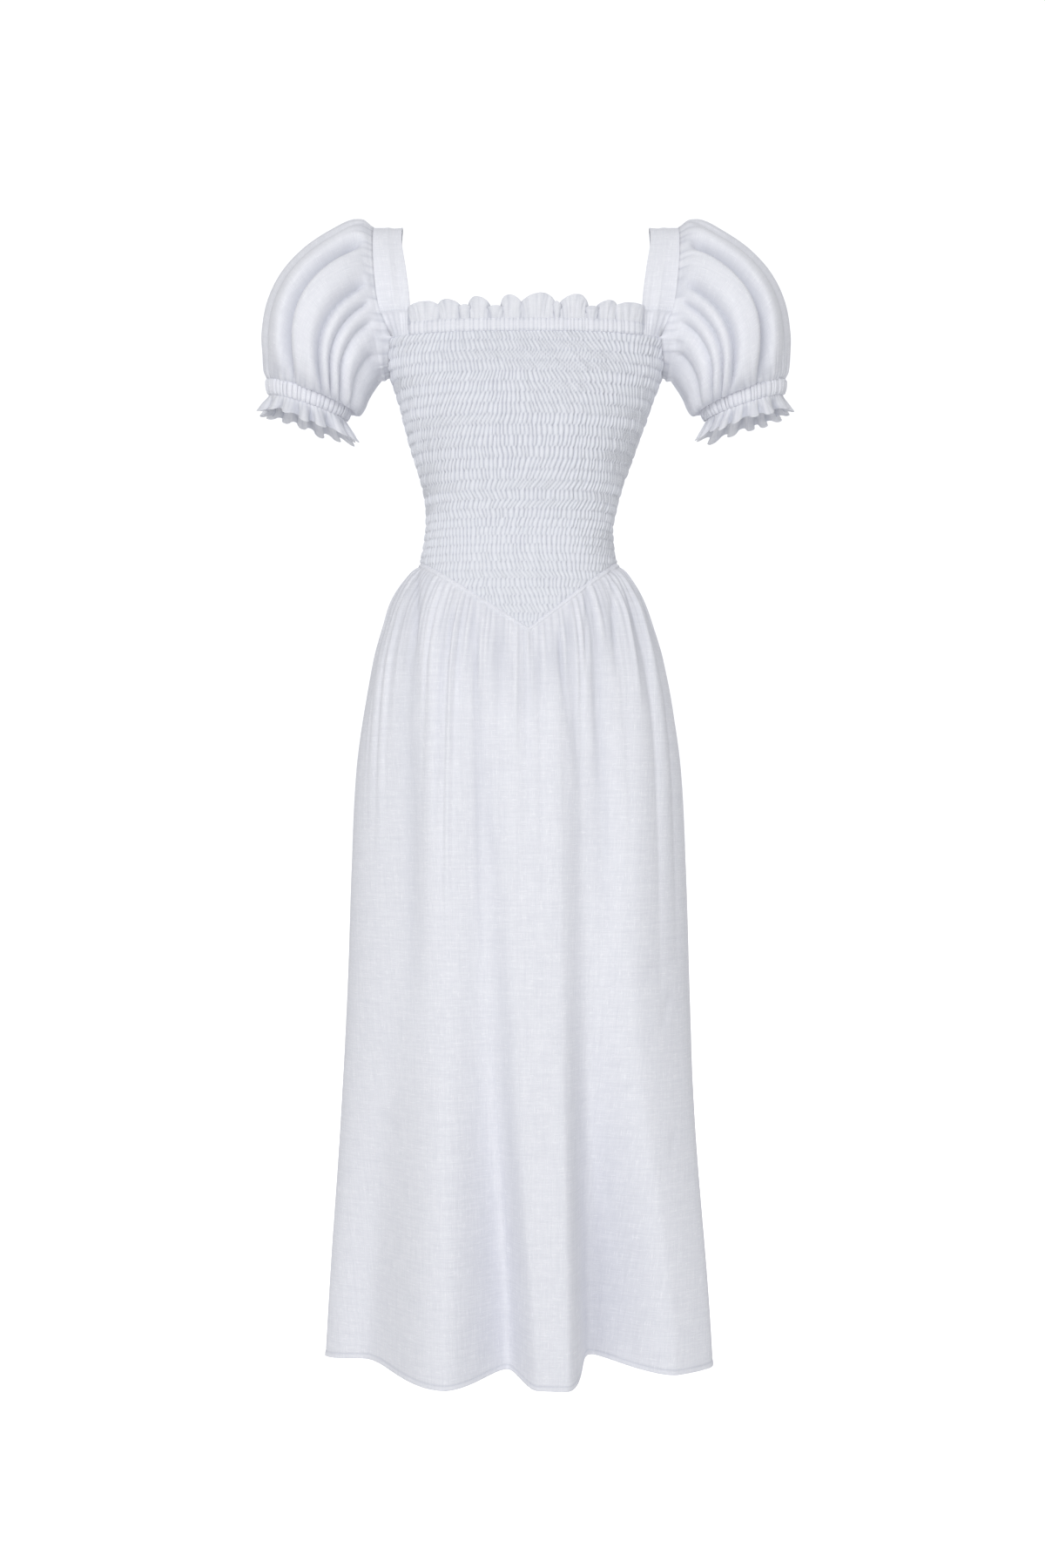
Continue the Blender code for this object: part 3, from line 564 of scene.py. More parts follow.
def tucks(place, count, seed, share=None, reach=(1.0, 1.0), sharp=0.7, uneven=0.4):
    """Height, from 0 to 1, of small round pleats of uneven width and height across a length from
    -1 to 1, with a tuck between each two. Down a panel, each fades at its own length."""
    chance = np.random.default_rng(seed)
    edges = np.cumsum(chance.uniform(1 - uneven, 1 + uneven, count))
    edges = np.concatenate([[-1], 2 * edges / edges[-1] - 1])
    heights = chance.uniform(0.9 - uneven, 1.0, count)
    lengths = chance.uniform(*reach, count)
    i = np.clip(np.searchsorted(edges, place, side="right") - 1, 0, count - 1)
    across = np.clip((place - edges[i]) / (edges[i + 1] - edges[i]), 0, 1)
    relief = heights[i] * np.sin(math.pi * across) ** sharp
    if share is None:
        return relief
    return relief * (1 - ease(0.1 * lengths[i], lengths[i], share))


def neck_point(share, z, facing, out):
    """x and y along the neck edge between the straps, at a share from -1 to 1, moved outwards."""
    x = UPPER_CENTRE_X + share * NECK_HALF_WIDTH[facing]
    half_width, front_depth, back_depth, centre_x = on_curve(TORSO, np.full_like(x, z))
    depth = front_depth if facing < 0 else back_depth
    aside = np.clip((x - centre_x) / half_width, -1, 1)
    ahead = (1 - np.abs(aside) ** TORSO_SQUARENESS) ** (1 / TORSO_SQUARENESS)
    lift_x, lift_out = lift_off(aside, ahead, half_width, depth, out)
    return x + lift_x, facing * (depth * ahead + lift_out)


def thicken(piece, thickness):
    """Gives an open sheet its thickness, inwards."""
    wall = piece.modifiers.new("thickness", "SOLIDIFY")
    wall.thickness = thickness
    wall.offset = -1
    wall.use_even_offset = False
    bpy.ops.object.select_all(action="DESELECT")
    piece.select_set(True)
    bpy.context.view_layer.objects.active = piece
    bpy.ops.object.modifier_apply(modifier=wall.name)


def elastic_casing(across, down, count, seed, gather=CASING_GATHER):
    """How far a gathered casing stands out, and the shade painted in its tucks and on its stitch
    lines:
    it swells between two rows of stitches, which notch it."""
    swell = np.sin(math.pi * np.clip(down, 0, 1)) ** 0.5
    stitched = sum(np.exp(-(((down - row) / 0.06) ** 2)) for row in CASING_ROWS_OF_STITCHES)
    pleat = tucks(across, count, seed)
    out = CASING_EDGE + CASING_BULGE * swell + gather * pleat - CASING_NOTCH * stitched
    out = mix(out, CASING_TURNED_IN, ease(0.92, 1.0, down))
    # Painted shade: darker between the pleats and at the stitched notches.
    return out, (0.55 - 0.85 * pleat) * (1 + stitched) + 0.1 * stitched


def sew_casing(name, place, surface):
    """The two rows of stitches on a casing. Its surface gives its points at each place along it and
    each share of the way down, moved out from the cloth."""
    for down in CASING_ROWS_OF_STITCHES:

        def path(proud):
            return surface(place, np.full_like(place, down), proud)

        sew(f"{name}_stitches_{int(down * 100)}", path, pitch=0.004, length=0.0026)


def neck_casing(name, facing, seed):
    columns, rows = 380, 12

    def surface(share, down, proud=0.0):
        z = mix(BODICE_TOP + CASING_HEIGHT + CASING_OVERLAP, BODICE_TOP - CASING_FOOT, down)
        out, painted_shade = elastic_casing(share, down, CASING_TUCKS, seed)
        ends = ease(NECK_SEAM_REACH, NECK_SEAM_REACH - 0.06, np.abs(share))
        x, y = neck_point(share, z, facing, out * ends + proud)
        return np.stack([x, y, z], 1), painted_shade

    def form(across, step):
        share = -facing * across * NECK_SEAM_REACH
        points, painted_shade = surface(share, step / rows)
        return points, np.stack([share * 0.19, points[:, 2]], 1), painted_shade

    piece = lay_cloth(name, columns, rows, form)
    thicken(piece, CASING_THICKNESS)
    sew_casing(name, np.linspace(-1, 1, 900), surface)
    return piece


plain_linen = linen_finish("plain_linen", (0.745, 0.755, 0.81), (0.91, 0.915, 0.955), 0.0003)
for end, facing, seed in (("front", -1, 21), ("back", 1, 22)):
    casing = neck_casing(f"{end}_casing", facing, seed)
    put_on(casing, f"neck_casing_{end}", plain_linen)


# Neck ruffles
# The free edge of the casing's linen. The elastic crowds it, so it stands up in round lobes that
# lean out, with narrow folds between them that fall back.
RuffleLobe = namedtuple("RuffleLobe", "end height")
FRONT_RUFFLE_START = -0.1325
FRONT_RUFFLE = in_mm(
    RuffleLobe, RuffleLobe._fields,
    (-95.7, 21.7), (-73.5, 22.7), (-61.9, 15.9), (-41.6, 24.6), (-26.1, 14), (-5.8, 26),
    (30.9, 28.1), (37.7, 18.8), (66.7, 27), (79.3, 14.5), (98.6, 21.7), (138.3, 20.7),
)
BACK_RUFFLE_START = -0.1383
BACK_RUFFLE = in_mm(
    RuffleLobe, RuffleLobe._fields,
    (-108, 21), (-90, 23.5), (-60, 25), (-50, 15), (-26, 25.5), (-1, 27), (11, 16.5), (39, 26.2),
    (60, 24), (70, 15), (101, 23.5), (138.3, 20.5),
)
RUFFLE_DIP = 0.0125
RUFFLE_LEAN_OUT = 0.0056
RUFFLE_FALL_BACK = 0.0008
RUFFLE_OVERLAP = 0.0024
RUFFLE_CREASES = 46
RUFFLE_CREASE = 0.002
RUFFLE_SUNK = 0.0014
RUFFLE_ROOT_OUT = 0.0028
RUFFLE_PLEAT = 0.0012
RUFFLE_ROLL = 0.0014
RUFFLE_THICKNESS = 0.0005
RUFFLE_EDGE = 0.0006
RUFFLE_SET_IN = 0.0008
LOW_LOBE = 0.007


def neck_ruffle(name, facing, start, lobes, seed):
    base = BODICE_TOP + CASING_HEIGHT - RUFFLE_SUNK
    edges = np.array([start] + [lobe.end for lobe in lobes])
    heights = np.array([lobe.height for lobe in lobes])
    columns, rows = 400, 14

    def form(across, step):
        share = -facing * across * NECK_SEAM_REACH
        up = 1 - step / rows
        along = share * NECK_HALF_WIDTH[facing]
        i = np.clip(np.searchsorted(edges, along, side="right") - 1, 0, len(lobes) - 1)
        turn = math.pi * np.clip((along - edges[i]) / (edges[i + 1] - edges[i]), 0, 1)
        low = heights[i] < RUFFLE_DIP + LOW_LOBE
        skewed = turn + 0.3 * np.sin(turn) * np.where(i % 2, 1, -1)
        arch = np.sin(np.clip(skewed, 0, math.pi)) ** np.where(low, 1.0, 0.5)
        pleat = tucks(share, CASING_TUCKS, seed)
        creased = tucks(share + 0.02 * up * np.cos(turn), RUFFLE_CREASES, seed + 9, uneven=0.7)
        top = RUFFLE_DIP + (heights[i] - RUFFLE_DIP) * arch + RUFFLE_EDGE * creased
        out = up**0.8 * mix(-RUFFLE_FALL_BACK, RUFFLE_LEAN_OUT, np.sin(turn) ** 0.7)
        out += RUFFLE_ROOT_OUT + RUFFLE_PLEAT * pleat * (1 - 0.7 * up)
        out += RUFFLE_ROLL * ease(0.7, 1.0, up)
        creasing = np.sin(math.pi * np.clip(up * 1.1, 0, 1))
        out += RUFFLE_CREASE * creased * creasing - RUFFLE_SET_IN
        over = -RUFFLE_OVERLAP * np.cos(turn) * up**1.5 / NECK_HALF_WIDTH[facing]
        out *= ease(NECK_SEAM_REACH, NECK_SEAM_REACH - 0.06, np.abs(share))
        reached = np.clip(share + over, -NECK_SEAM_REACH, NECK_SEAM_REACH)
        x, y = neck_point(reached, BODICE_TOP + CASING_HEIGHT, facing, out)
        # Painted shade: darker where the lobes turn down into the dips, between the gathers at the
        # root, inside each lobe's roll and between its creases.
        painted_shade = 0.72 - 0.95 * arch + (0.4 - 0.8 * pleat) * (1 - up)
        rolled = np.exp(-(((turn - np.where(i % 2, 1.0, 2.1)) / 0.3) ** 2)) * up
        painted_shade = np.maximum(painted_shade, 0) + np.where(low, 0.1, 0.3 * rolled)
        painted_shade += np.maximum(0.4 - 0.7 * creased, 0) * (0.4 + 0.6 * up)
        return np.stack([x, y, base + top * up], 1), np.stack([share * 0.2, top * up], 1), painted_shade

    piece = lay_cloth(name, columns, rows, form)
    thicken(piece, RUFFLE_THICKNESS)
    return piece


# Its light threads are greyer than the plain linen's: painted shade for the thin cloth, which shows
# the shade behind it.
thin_linen = linen_finish("thin_linen", (0.75, 0.76, 0.8), (0.86, 0.865, 0.9), 0.0003)
for end, facing, start, lobes, seed in (
    ("front", -1, FRONT_RUFFLE_START, FRONT_RUFFLE, 21),
    ("back", 1, BACK_RUFFLE_START, BACK_RUFFLE, 22),
):
    ruffle = neck_ruffle(f"{end}_ruffle", facing, start, lobes, seed)
    put_on(ruffle, f"neck_ruffle_{end}", thin_linen)


# Straps
# Two layers of plain linen, sewn and turned, that run over each shoulder from the front of the
# bodice to the back. A double row of stitches holds each foot.
StrapSection = namedtuple("StrapSection", "angle outer_x inner_x inner_y")
STRAP = in_mm(
    StrapSection, StrapSection._fields[1:],
    (-33.7, 154, 133, 65.5),
    (-8.4, 167.5, 131, 66),
    (17.4, 173, 135, 56),
    (46.9, 175.5, 140.8, 34),
    (90, 176, 141.5, 0),
)
BACK_STRAP_INSET = 0.006
STRAP_CLEARANCE = 0.0012
STRAP_CROWN = 0.002
STRAP_CLOTH = 0.0016
STRAP_SEAM_Z = -0.1065
STRAP_SEAM_WIDTH = 0.0011
STRAP_NOTCH = 0.0005
STRAP_FOLD_OUT = 0.0015
STRAP_FOLD_IN = 0.0016
STRAP_FOOT_SWELL = 0.0006
STRAP_FOOT_GATHER = 0.0016
STRAP_FOOT_LIFT = 0.003
STRAP_OVERLAP = 0.004
STRAP_THICKNESS = 0.0012
STITCHES_OVER_SEAM = (0.0017, 0.0042)


def armhole_point(angle, shrink=0.0):
    """y and z on the armhole: -90 degrees is the underarm, 0 the front, 90 the top."""
    turn = np.radians(angle)
    y = -(ARMHOLE_HALF_DEPTH - shrink) * np.cos(turn)
    return y, ARMHOLE_CENTRE_Z + (ARMHOLE_HALF_HEIGHT - shrink) * np.sin(turn)


def strap_section(angle):
    outer_x, inner_x, inner_y = on_curve(STRAP, np.where(angle <= 90, angle, 180 - angle))
    inset = np.where(angle > 90, BACK_STRAP_INSET * (1 - ease(0, 90, 180 - angle)), 0)
    return outer_x, inner_x + inset, -np.where(angle <= 90, 1, -1) * inner_y


strap_rise = BODICE_TOP + SEAM_GAP - ARMHOLE_CENTRE_Z
STRAP_FOOT = math.degrees(math.asin(strap_rise / (ARMHOLE_HALF_HEIGHT + STRAP_CLEARANCE)))


def strap_point(share, angle, side):
    outer_x, inner_x, inner_y = strap_section(angle)
    y, z = armhole_point(angle, -STRAP_CLEARANCE)
    x = UPPER_CENTRE_X + side * mix(outer_x, inner_x, share)
    crown = STRAP_CROWN * np.sin(math.pi * share)
    return np.stack([x, mix(y, inner_y, share) * (1 + crown / ARMHOLE_HALF_DEPTH), z], 1)


def strap_away(share, angle, side):
    """The direction in which the strap faces away from the wearer."""
    step = 0.01
    across = strap_point(share + step, angle, side) - strap_point(share - step, angle, side)
    along = strap_point(share, angle + step, side) - strap_point(share, angle - step, side)
    away = np.cross(across, along) * side
    return away / np.linalg.norm(away, axis=1)[:, None]


def strap_surface(share, angle, side, proud=0.0):
    """The strap's face: two soft folds pull down to its foot, which is gathered below its seam."""
    from_foot = np.minimum(angle, 180 - angle) / 180 - STRAP_FOOT / 180
    points = strap_point(share, angle, side)
    above = points[:, 2] - STRAP_SEAM_Z
    seam = np.exp(-((above / STRAP_SEAM_WIDTH) ** 2))
    below = ease(0.001, -0.004, above)
    pleat = tucks(2 * share - 1, 6, 5)
    pull = STRAP_FOLD_OUT * np.exp(-(((share - 0.74) / 0.08) ** 2))
    pull -= STRAP_FOLD_IN * np.exp(-(((share - 0.52) / 0.08) ** 2))
    pull *= ease(0.02, 0.1, from_foot) * (1 - 0.7 * ease(0.2, 0.42, from_foot))
    edge = ease(0.93, 1.0, share) + ease(0.07, 0.0, share)
    lift = STRAP_CLOTH + pull + (STRAP_FOOT_SWELL + STRAP_FOOT_GATHER * pleat) * below
    lift = lift - STRAP_NOTCH * seam - STRAP_NOTCH * edge
    lift = mix(STRAP_FOOT_SWELL, lift, ease(0.0, 0.002, points[:, 2] - BODICE_TOP))
    points += strap_away(np.clip(share, 0.01, 0.99), angle, side) * (lift + proud)[:, None]
    at_foot = ease(0.014, 0.0, points[:, 2] - BODICE_TOP)
    for facing in (-1, 1):
        here = (angle < 90) == (facing < 0)
        reached = (points[here, 0] - UPPER_CENTRE_X) / NECK_HALF_WIDTH[facing]
        _, y = neck_point(reached, BODICE_TOP, facing, STRAP_FOOT_LIFT + proud)
        nearer = np.clip(y - points[here, 1], -0.006, 0.006)
        points[here, 1] += at_foot[here] * nearer
    points[:, 2] -= STRAP_OVERLAP * ease(0.01, 0.0, points[:, 2] - BODICE_TOP)
    # Painted shade: darker along the seam and between the gathers of the foot.
    return points, 0.3 * seam + below * (0.55 - 0.9 * pleat)


def strap_band(name, side):
    columns, rows = 40, 140

    def form(across, step):
        share = (1 + side * across) / 2
        angle = mix(STRAP_FOOT, 180 - STRAP_FOOT, step / rows)
        points, painted_shade = strap_surface(share, angle, side)
        return points, np.stack([share * 0.036, step * 0.002], 1), painted_shade

    piece = lay_cloth(name, columns, rows, form)
    thicken(piece, STRAP_THICKNESS)
    share = np.linspace(0.03, 0.97, 300)
    for number, above in enumerate(STITCHES_OVER_SEAM):
        height = STRAP_SEAM_Z + above - ARMHOLE_CENTRE_Z
        angle = math.degrees(math.asin(height / (ARMHOLE_HALF_HEIGHT + STRAP_CLEARANCE)))
        for end, foot in (("front", angle), ("back", 180 - angle)):

            def path(proud):
                return strap_surface(share, np.full_like(share, foot), side, proud)

            stitches = f"{name}_{end}_stitches_{number + 1}"
            sew(stitches, path, pitch=0.0032, length=0.0024)
    return piece


for hand, side in (("left", 1), ("right", -1)):
    strap = strap_band(f"{hand}_strap", side)
    put_on(
        strap, f"strap_{hand}", plain_linen,
    )


# Puff sleeves
# A wide linen tube, gathered tightly into the armhole, mostly over the shoulder, and again into the
# cuff. Between them it stands out in long soft folds that run from the shoulder round to the cuff.
SleeveSection = namedtuple("SleeveSection", "share upper_x upper_z under_x under_z half_depth")
SLEEVE = in_mm(
    SleeveSection, SleeveSection._fields[1:],
    (0, 177.5, 0, 160, -170.8, 55),
    (0.1, 196.5, 6.2, 164.5, -173.5, 62.5),
    (0.22, 227, -8, 169, -176, 75.5),
    (0.34, 256, -29, 173, -181, 86),
    (0.46, 279.5, -56, 177.5, -187.5, 90),
    (0.59, 294.5, -88, 182, -195.5, 89),
    (0.73, 300.5, -123, 185.5, -204, 82),
    (0.86, 299.5, -150, 191, -211.5, 69),
    (0.94, 298, -165.5, 195.5, -212.5, 56.5),
    (1, 294.5, -176, 204, -205.5, 46.5),
)
SLEEVE_HEAD_END = 0.1
# Angles run round the sleeve: 0 degrees on its upper outer line, 90 in front, 180 under the arm.
SleeveFold = namedtuple("SleeveFold", "head middle cuff before after height start")
SLEEVE_FOLDS = in_mm(
    SleeveFold, ["height"],
    (8, 8, 10, 12, 9, 3, 0.02),
    (21, 24, 28, 8, 7, -3.2, 0.05),
    (37, 46, 57, 11, 6, 5.7, 0.02),
    (50, 58, 76, 13, 5, -12.5, 0.02),
    (61, 68, 88, 4, 13, 5.7, 0.06),
    (72, 84, 104, 8, 5, 5, 0.05),
    (84, 95, 114, 8, 4, -10, 0.03),
    (90, 102, 119, 4, 5, 5, 0.04),
    (97, 109, 124, 5, 3, -8.5, 0.02),
    (104, 115, 130, 4, 6, 5.5, 0.03),
    (111, 122, 136, 6, 4, -7.7, 0.05),
    (122, 131, 145, 5, 9, 4.5, 0.05),
    (138, 144, 152, 7, 5, -5.7, 0.1),
    (158, 160, 163, 8, 8, 3.2, 0.12),
    (180, 180, 180, 9, 9, -3, 0.1),
    (200, 199, 198, 7, 7, 3.7, 0.1),
    (214, 210, 206, 6, 5, -6.5, 0.08),
    (232, 226, 220, 9, 5, 5.2, 0.06),
    (246, 238, 230, 5, 7, -8.8, 0.1),
    (262, 256, 248, 11, 6, 5.7, 0.05),
    (277, 272, 262, 5, 8, -9.3, 0.08),
    (296, 290, 282, 9, 6, 5.5, 0.04),
    (310, 306, 300, 5, 8, -8.8, 0.06),
    (328, 326, 322, 9, 7, 4.5, 0.04),
    (342, 341, 340, 7, 8, -3.2, 0.05),
)
HEAD_GATHER = 0.003
HEAD_TUCKS = 44
CUFF_END_GATHER = 0.0032
CUFF_END_TUCKS = 46
HEAD_UNDER_STRAP = 0.0012
HEAD_REACH = 0.002
UNDERARM_REACH = 0.008
# How deep a fold valley lies where its painted shade is fullest.
DEEP_FOLD = 0.012
LINEN_THICKNESS = 0.0008


def on_sleeve(section, turn, side, out):
    """Points round sleeve sections, moved outwards."""
    upper_x, upper_z, under_x, under_z, half_depth = section
    half_x, half_z = (upper_x - under_x) / 2, (upper_z - under_z) / 2
    half = np.hypot(half_x, half_z)
    radius = (half + out) * np.cos(turn)
    x = (upper_x + under_x) / 2 + half_x / half * radius
    z = (upper_z + under_z) / 2 + half_z / half * radius
    return np.stack([UPPER_CENTRE_X + side * x, -(half_depth + out) * np.sin(turn), z], 1)


def armhole_reach(angle, y, z):
    """How far from the centre line the armhole's edge lies: on the strap, then on the bodice."""
    half_width, front_depth, back_depth, _ = on_curve(TORSO, z)
    depth = np.where(y < 0, front_depth, back_depth)
    share = np.clip(np.abs(y) / depth, 0, 1)
    on_bodice = half_width * (1 - share**TORSO_SQUARENESS) ** (1 / TORSO_SQUARENESS)
    on_strap = (angle >= STRAP[0].angle) & (angle <= 180 - STRAP[0].angle)
    return np.where(on_strap, strap_section(angle)[0], on_bodice)


def turned_apart(degrees, middle):
    return (degrees - middle + 180) % 360 - 180


def lay_tube(name, columns, rows, thickness, form):
    """A sheet sewn together along its two sides, and given its thickness."""
    piece = lay_cloth(name, columns, rows, form)
    sew_shut(piece, merge=0.00001, fill=False)
    thicken(piece, thickness)
    return piece


def puff_sleeve(name, side, seed):
    columns, rows = 290, 78

    def form(across, step):
        turn = math.pi * (1 + side * across)
        degrees = np.degrees(turn) % 360
        share = step / rows
        wide = np.clip(share, SLEEVE_HEAD_END, 1)
        folds = np.zeros_like(share)
        for fold in SLEEVE_FOLDS:
            bend = 2 * fold.middle - (fold.head + fold.cuff) / 2
            path = mix(mix(fold.head, bend, share), mix(bend, fold.cuff, share), share)
            aside = turned_apart(degrees, path)
            near = aside / np.where(aside < 0, fold.before, fold.after)
            drawn = ease(fold.start, fold.start + 0.15, share)
            drawn *= 1 - 0.65 * ease(0.75, 1.0, share)
            crisp = 1.9 if fold.height > 0 else 1.25
            folds += fold.height * np.exp(-np.abs(near) ** crisp) * drawn
        folds = np.where(folds > 0, 0.8 * folds, 1.2 * folds)
        around = turn / math.pi - 1
        at_head = tucks(around, HEAD_TUCKS, seed, share, (0.06, 0.34), uneven=0.65)
        at_cuff = tucks(around, CUFF_END_TUCKS, seed + 1, 1 - share, (0.08, 0.36), uneven=0.5)
        small = HEAD_GATHER * at_head * (0.25 + 0.75 * ease(0.0, 0.06, share))
        small += CUFF_END_GATHER * at_cuff * (1 - 0.7 * ease(0.94, 1.0, share))
        body = on_sleeve(on_curve(SLEEVE, wide), turn, side, folds + small)
        angle = 90 - np.degrees(turn)
        angle = np.where(angle >= -90, angle, angle + 360)
        y, z = armhole_point(angle, SEAM_GAP * 1.5)
        over = 90 - np.abs(90 - angle)
        sewn = ease(STRAP[0].angle + 12, STRAP[0].angle, over)
        reach = mix(HEAD_REACH, UNDERARM_REACH, sewn) * np.minimum(1, share * 60)
        reach -= HEAD_UNDER_STRAP
        reach += armhole_reach(angle, y, z)
        head = np.stack([UPPER_CENTRE_X + side * reach, y, z], 1)
        leave = np.clip(share / SLEEVE_HEAD_END, 0, 1)
        sideways = np.sin(turn)[:, None] ** 2
        rounded = np.sin(np.minimum(1, leave * 1.5) * math.pi / 2)[:, None]
        slow = mix(1 - np.cos(leave * math.pi / 2)[:, None], rounded, 0.25)
        points = mix(head, body, mix(rounded, leave[:, None], sideways))
        points[:, :1] = mix(head[:, :1], body[:, :1], mix(slow, leave[:, None], sideways))
        points = np.where(leave[:, None] >= 1, body, points)
        near_head = 1 - ease(0.0, 0.14, share)
        near_cuff = ease(0.8, 1.0, share)
        # Painted shade: darker between the gathers at the head and at the cuff, and down in the
        # deep fold valleys.
        painted_shade = np.maximum(near_head * (0.72 - 1.4 * at_head), 0)
        painted_shade += np.maximum(near_cuff * (0.75 - 1.2 * at_cuff), 0)
        painted_shade += np.clip(-folds / DEEP_FOLD, 0, 1) ** 1.2 * 0.72
        return points, np.stack([turn * 0.095, -share * 0.2], 1), painted_shade

    return lay_tube(name, columns, rows, LINEN_THICKNESS, form)


for hand, side, seed in (("right", -1, 41), ("left", 1, 43)):
    sleeve = puff_sleeve(f"{hand}_sleeve", side, seed)
    put_on(sleeve, f"sleeve_{hand}", plain_linen)


# Cuffs
# A casing like the neck's, of the sleeve's own linen round flat elastic, which draws the sleeve in
# close to the arm. Two rows of stitches hold the elastic in.
CUFF_FOOT = SleeveSection(1.0, 0.293, -0.191, 0.2085, -0.219, 0.045)
CUFF_TUCKS = 58
CUFF_SUNK = 0.002
CUFF_GATHER = 0.003
CUFF_TURNED_IN = 0.0004


def between(first, second, share):
    return [mix(a, b, share) for a, b in zip(first[1:], second[1:])]


def elastic_cuff(name, side, seed):
    columns, rows = 340, 13

    def surface(turn, down, proud=0.0):
        section = between(SLEEVE[-1], CUFF_FOOT, mix(-0.1, 1.08, down))
        out, painted_shade = elastic_casing(turn / math.pi - 1, down, CUFF_TUCKS, seed, CUFF_GATHER)
        out = mix(CUFF_TURNED_IN, out, ease(0.0, 0.1, down))
        return on_sleeve(section, turn, side, out - CUFF_SUNK + proud), painted_shade

    def form(across, step):
        turn = math.pi * (1 + side * across)
        points, painted_shade = surface(turn, step / rows)
        return points, np.stack([turn * 0.072, -step / rows * 0.017], 1), painted_shade

    piece = lay_tube(name, columns, rows, CASING_THICKNESS, form)
    sew_casing(name, np.linspace(0, 2 * math.pi, 1200), surface)
    return piece


for hand, side, seed in (("right", -1, 51), ("left", 1, 52)):
    cuff = elastic_cuff(f"{hand}_cuff", side, seed)
    put_on(cuff, f"cuff_{hand}", plain_linen)


# Cuff ruffles
# The free edge of the sleeve's linen, below the cuff's elastic. It is thin, and rolls into round
# flutes of uneven width.
RUFFLE_FOOT = SleeveSection(1.0, 0.301, -0.211, 0.199, -0.2425, 0.058)
CUFF_FLUTES = 16
FLUTE_SWING = 0.005
FLUTE_OVERLAP = 0.024
FLUTE_DROP = 0.11
FLUTE_CREASE = 0.0012
FLUTE_SET_IN = 0.0006


def cuff_ruffle(name, side, seed):
    columns, rows = 420, 14
    chance = np.random.default_rng(seed)
    edges = np.cumsum(chance.uniform(0.4, 1.6, CUFF_FLUTES))
    edges = np.concatenate([[0], edges / edges[-1]])
    swings = chance.uniform(0.45, 1.3, CUFF_FLUTES + 1)
    swings[-1] = swings[0]

    def form(across, step):
        turn = math.pi * (1 + side * across)
        down = step / rows
        flute = np.interp(turn / (2 * math.pi), edges, np.arange(CUFF_FLUTES + 1))
        phase = flute * 2 * math.pi
        swing = np.interp(flute, np.arange(CUFF_FLUTES + 1), swings)
        length = 0.75 + 0.26 * swing + FLUTE_DROP * np.cos(phase)
        section = between(CUFF_FOOT, RUFFLE_FOOT, down * length)
        pleat = tucks(turn / math.pi - 1, CUFF_TUCKS, seed)
        lobe = 0.15 + np.cos(phase)
        rolled = turn + FLUTE_OVERLAP * np.sin(2 * phase) * swing * ease(0.2, 1, down)
        out = FLUTE_SWING * swing * ease(-0.05, 0.8, down) * lobe - FLUTE_SET_IN
        out += RUFFLE_PLEAT * pleat * (1 - ease(0, 0.6, down))
        out += RUFFLE_ROLL * ease(0.75, 1, down)
        creased = tucks(turn / math.pi - 1, 3 * CUFF_FLUTES, seed + 2, uneven=0.7)
        out += FLUTE_CREASE * creased * down
        points = on_sleeve(section, rolled, side, out)
        # Painted shade: darker between the pleats at the root, on the flutes' backs where they turn
        # in, and between the creases.
        painted_shade = (0.7 - pleat) * (1 - down) + np.maximum(-0.85 * lobe, 0) * ease(0, 0.5, down)
        painted_shade = np.maximum(painted_shade, 0) + np.maximum(0.4 - 0.7 * creased, 0) * down
        return points, np.stack([turn * 0.082, -down * 0.024], 1), painted_shade

    return lay_tube(name, columns, rows, RUFFLE_THICKNESS, form)


for hand, side, seed in (("right", -1, 61), ("left", 1, 63)):
    ruffle = cuff_ruffle(f"{hand}_cuff_ruffle", side, seed)
    put_on(ruffle, f"cuff_ruffle_{hand}", thin_linen)


# Skirt, front
# A wide panel of linen, gathered into the pointed waist seam below a small welt. It hangs in long
# soft folds to a narrow hem, which is turned and stitched.
HEM = -1.293
HEM_DROP = 0.12
HEM_TURN = 0.0006
HEM_TURN_SHARE = 0.0062
HEM_LINE_SHARE = 0.0014
SKIRT_TUCK = 0.0046
SKIRT_SOFT_TUCK = 0.006
WELT_SHARE = 0.0032
WELT_RISE = 0.0018
WELT_ROUND = 0.0018
WELT_STEP = 0.0008
WELT_SET_IN = 0.001
# How deep a crease lies where its painted shade is fullest.
DEEP_CREASE = 0.0026
# How far down the skirt each share of its rows lies: they are close at the seam and the hem.
ROW_STOPS = (0.0, 0.04, 0.3, 0.93, 1.0)
SHARE_STOPS = (0.0, 0.0032, 0.12, 0.985, 1.0)
SKIRT_SQUARENESS = 2.2
SKIRT_CENTRE_X = -0.006
SMOCKED_LINEN = 0.0018
SkirtSection = namedtuple("SkirtSection", "share half_width front_depth back_depth")
SKIRT = in_mm(
    SkirtSection, SkirtSection._fields[1:],
    (0, 111, 105, 86), (0.013, 122, 108, 96), (0.03, 132, 111, 106), (0.05, 140.5, 114, 115),
    (0.08, 150.5, 117, 124), (0.12, 162.5, 119.5, 132), (0.18, 174.5, 121.5, 139),
    (0.26, 184.5, 123, 144), (0.38, 190, 124, 148), (0.54, 195, 125, 152), (0.72, 204, 126, 157),
    (0.88, 214, 126.5, 162), (1, 220.5, 127, 165),
)
# Places run from -1, the right side seam, to 1, the left one. Ridges are above 0, valleys below.
LongFold = namedtuple("LongFold", "middle_place hem_place middle_height hem_height")
FRONT_FOLDS = in_mm(
    LongFold, LongFold._fields[2:],
    (-1, -1, 0, 0), (-0.66, -0.78, -7.2, -35), (-0.37, -0.35, 7.2, 39), (-0.19, -0.07, -8.4, -34),
    (-0.03, 0.1, 6, 36), (0.22, 0.23, 7.2, 39), (0.38, 0.46, -9.6, -78), (0.58, 0.7, 4.8, 12),
    (0.8, 0.83, 0, 12), (1, 1, 0, -10),
)
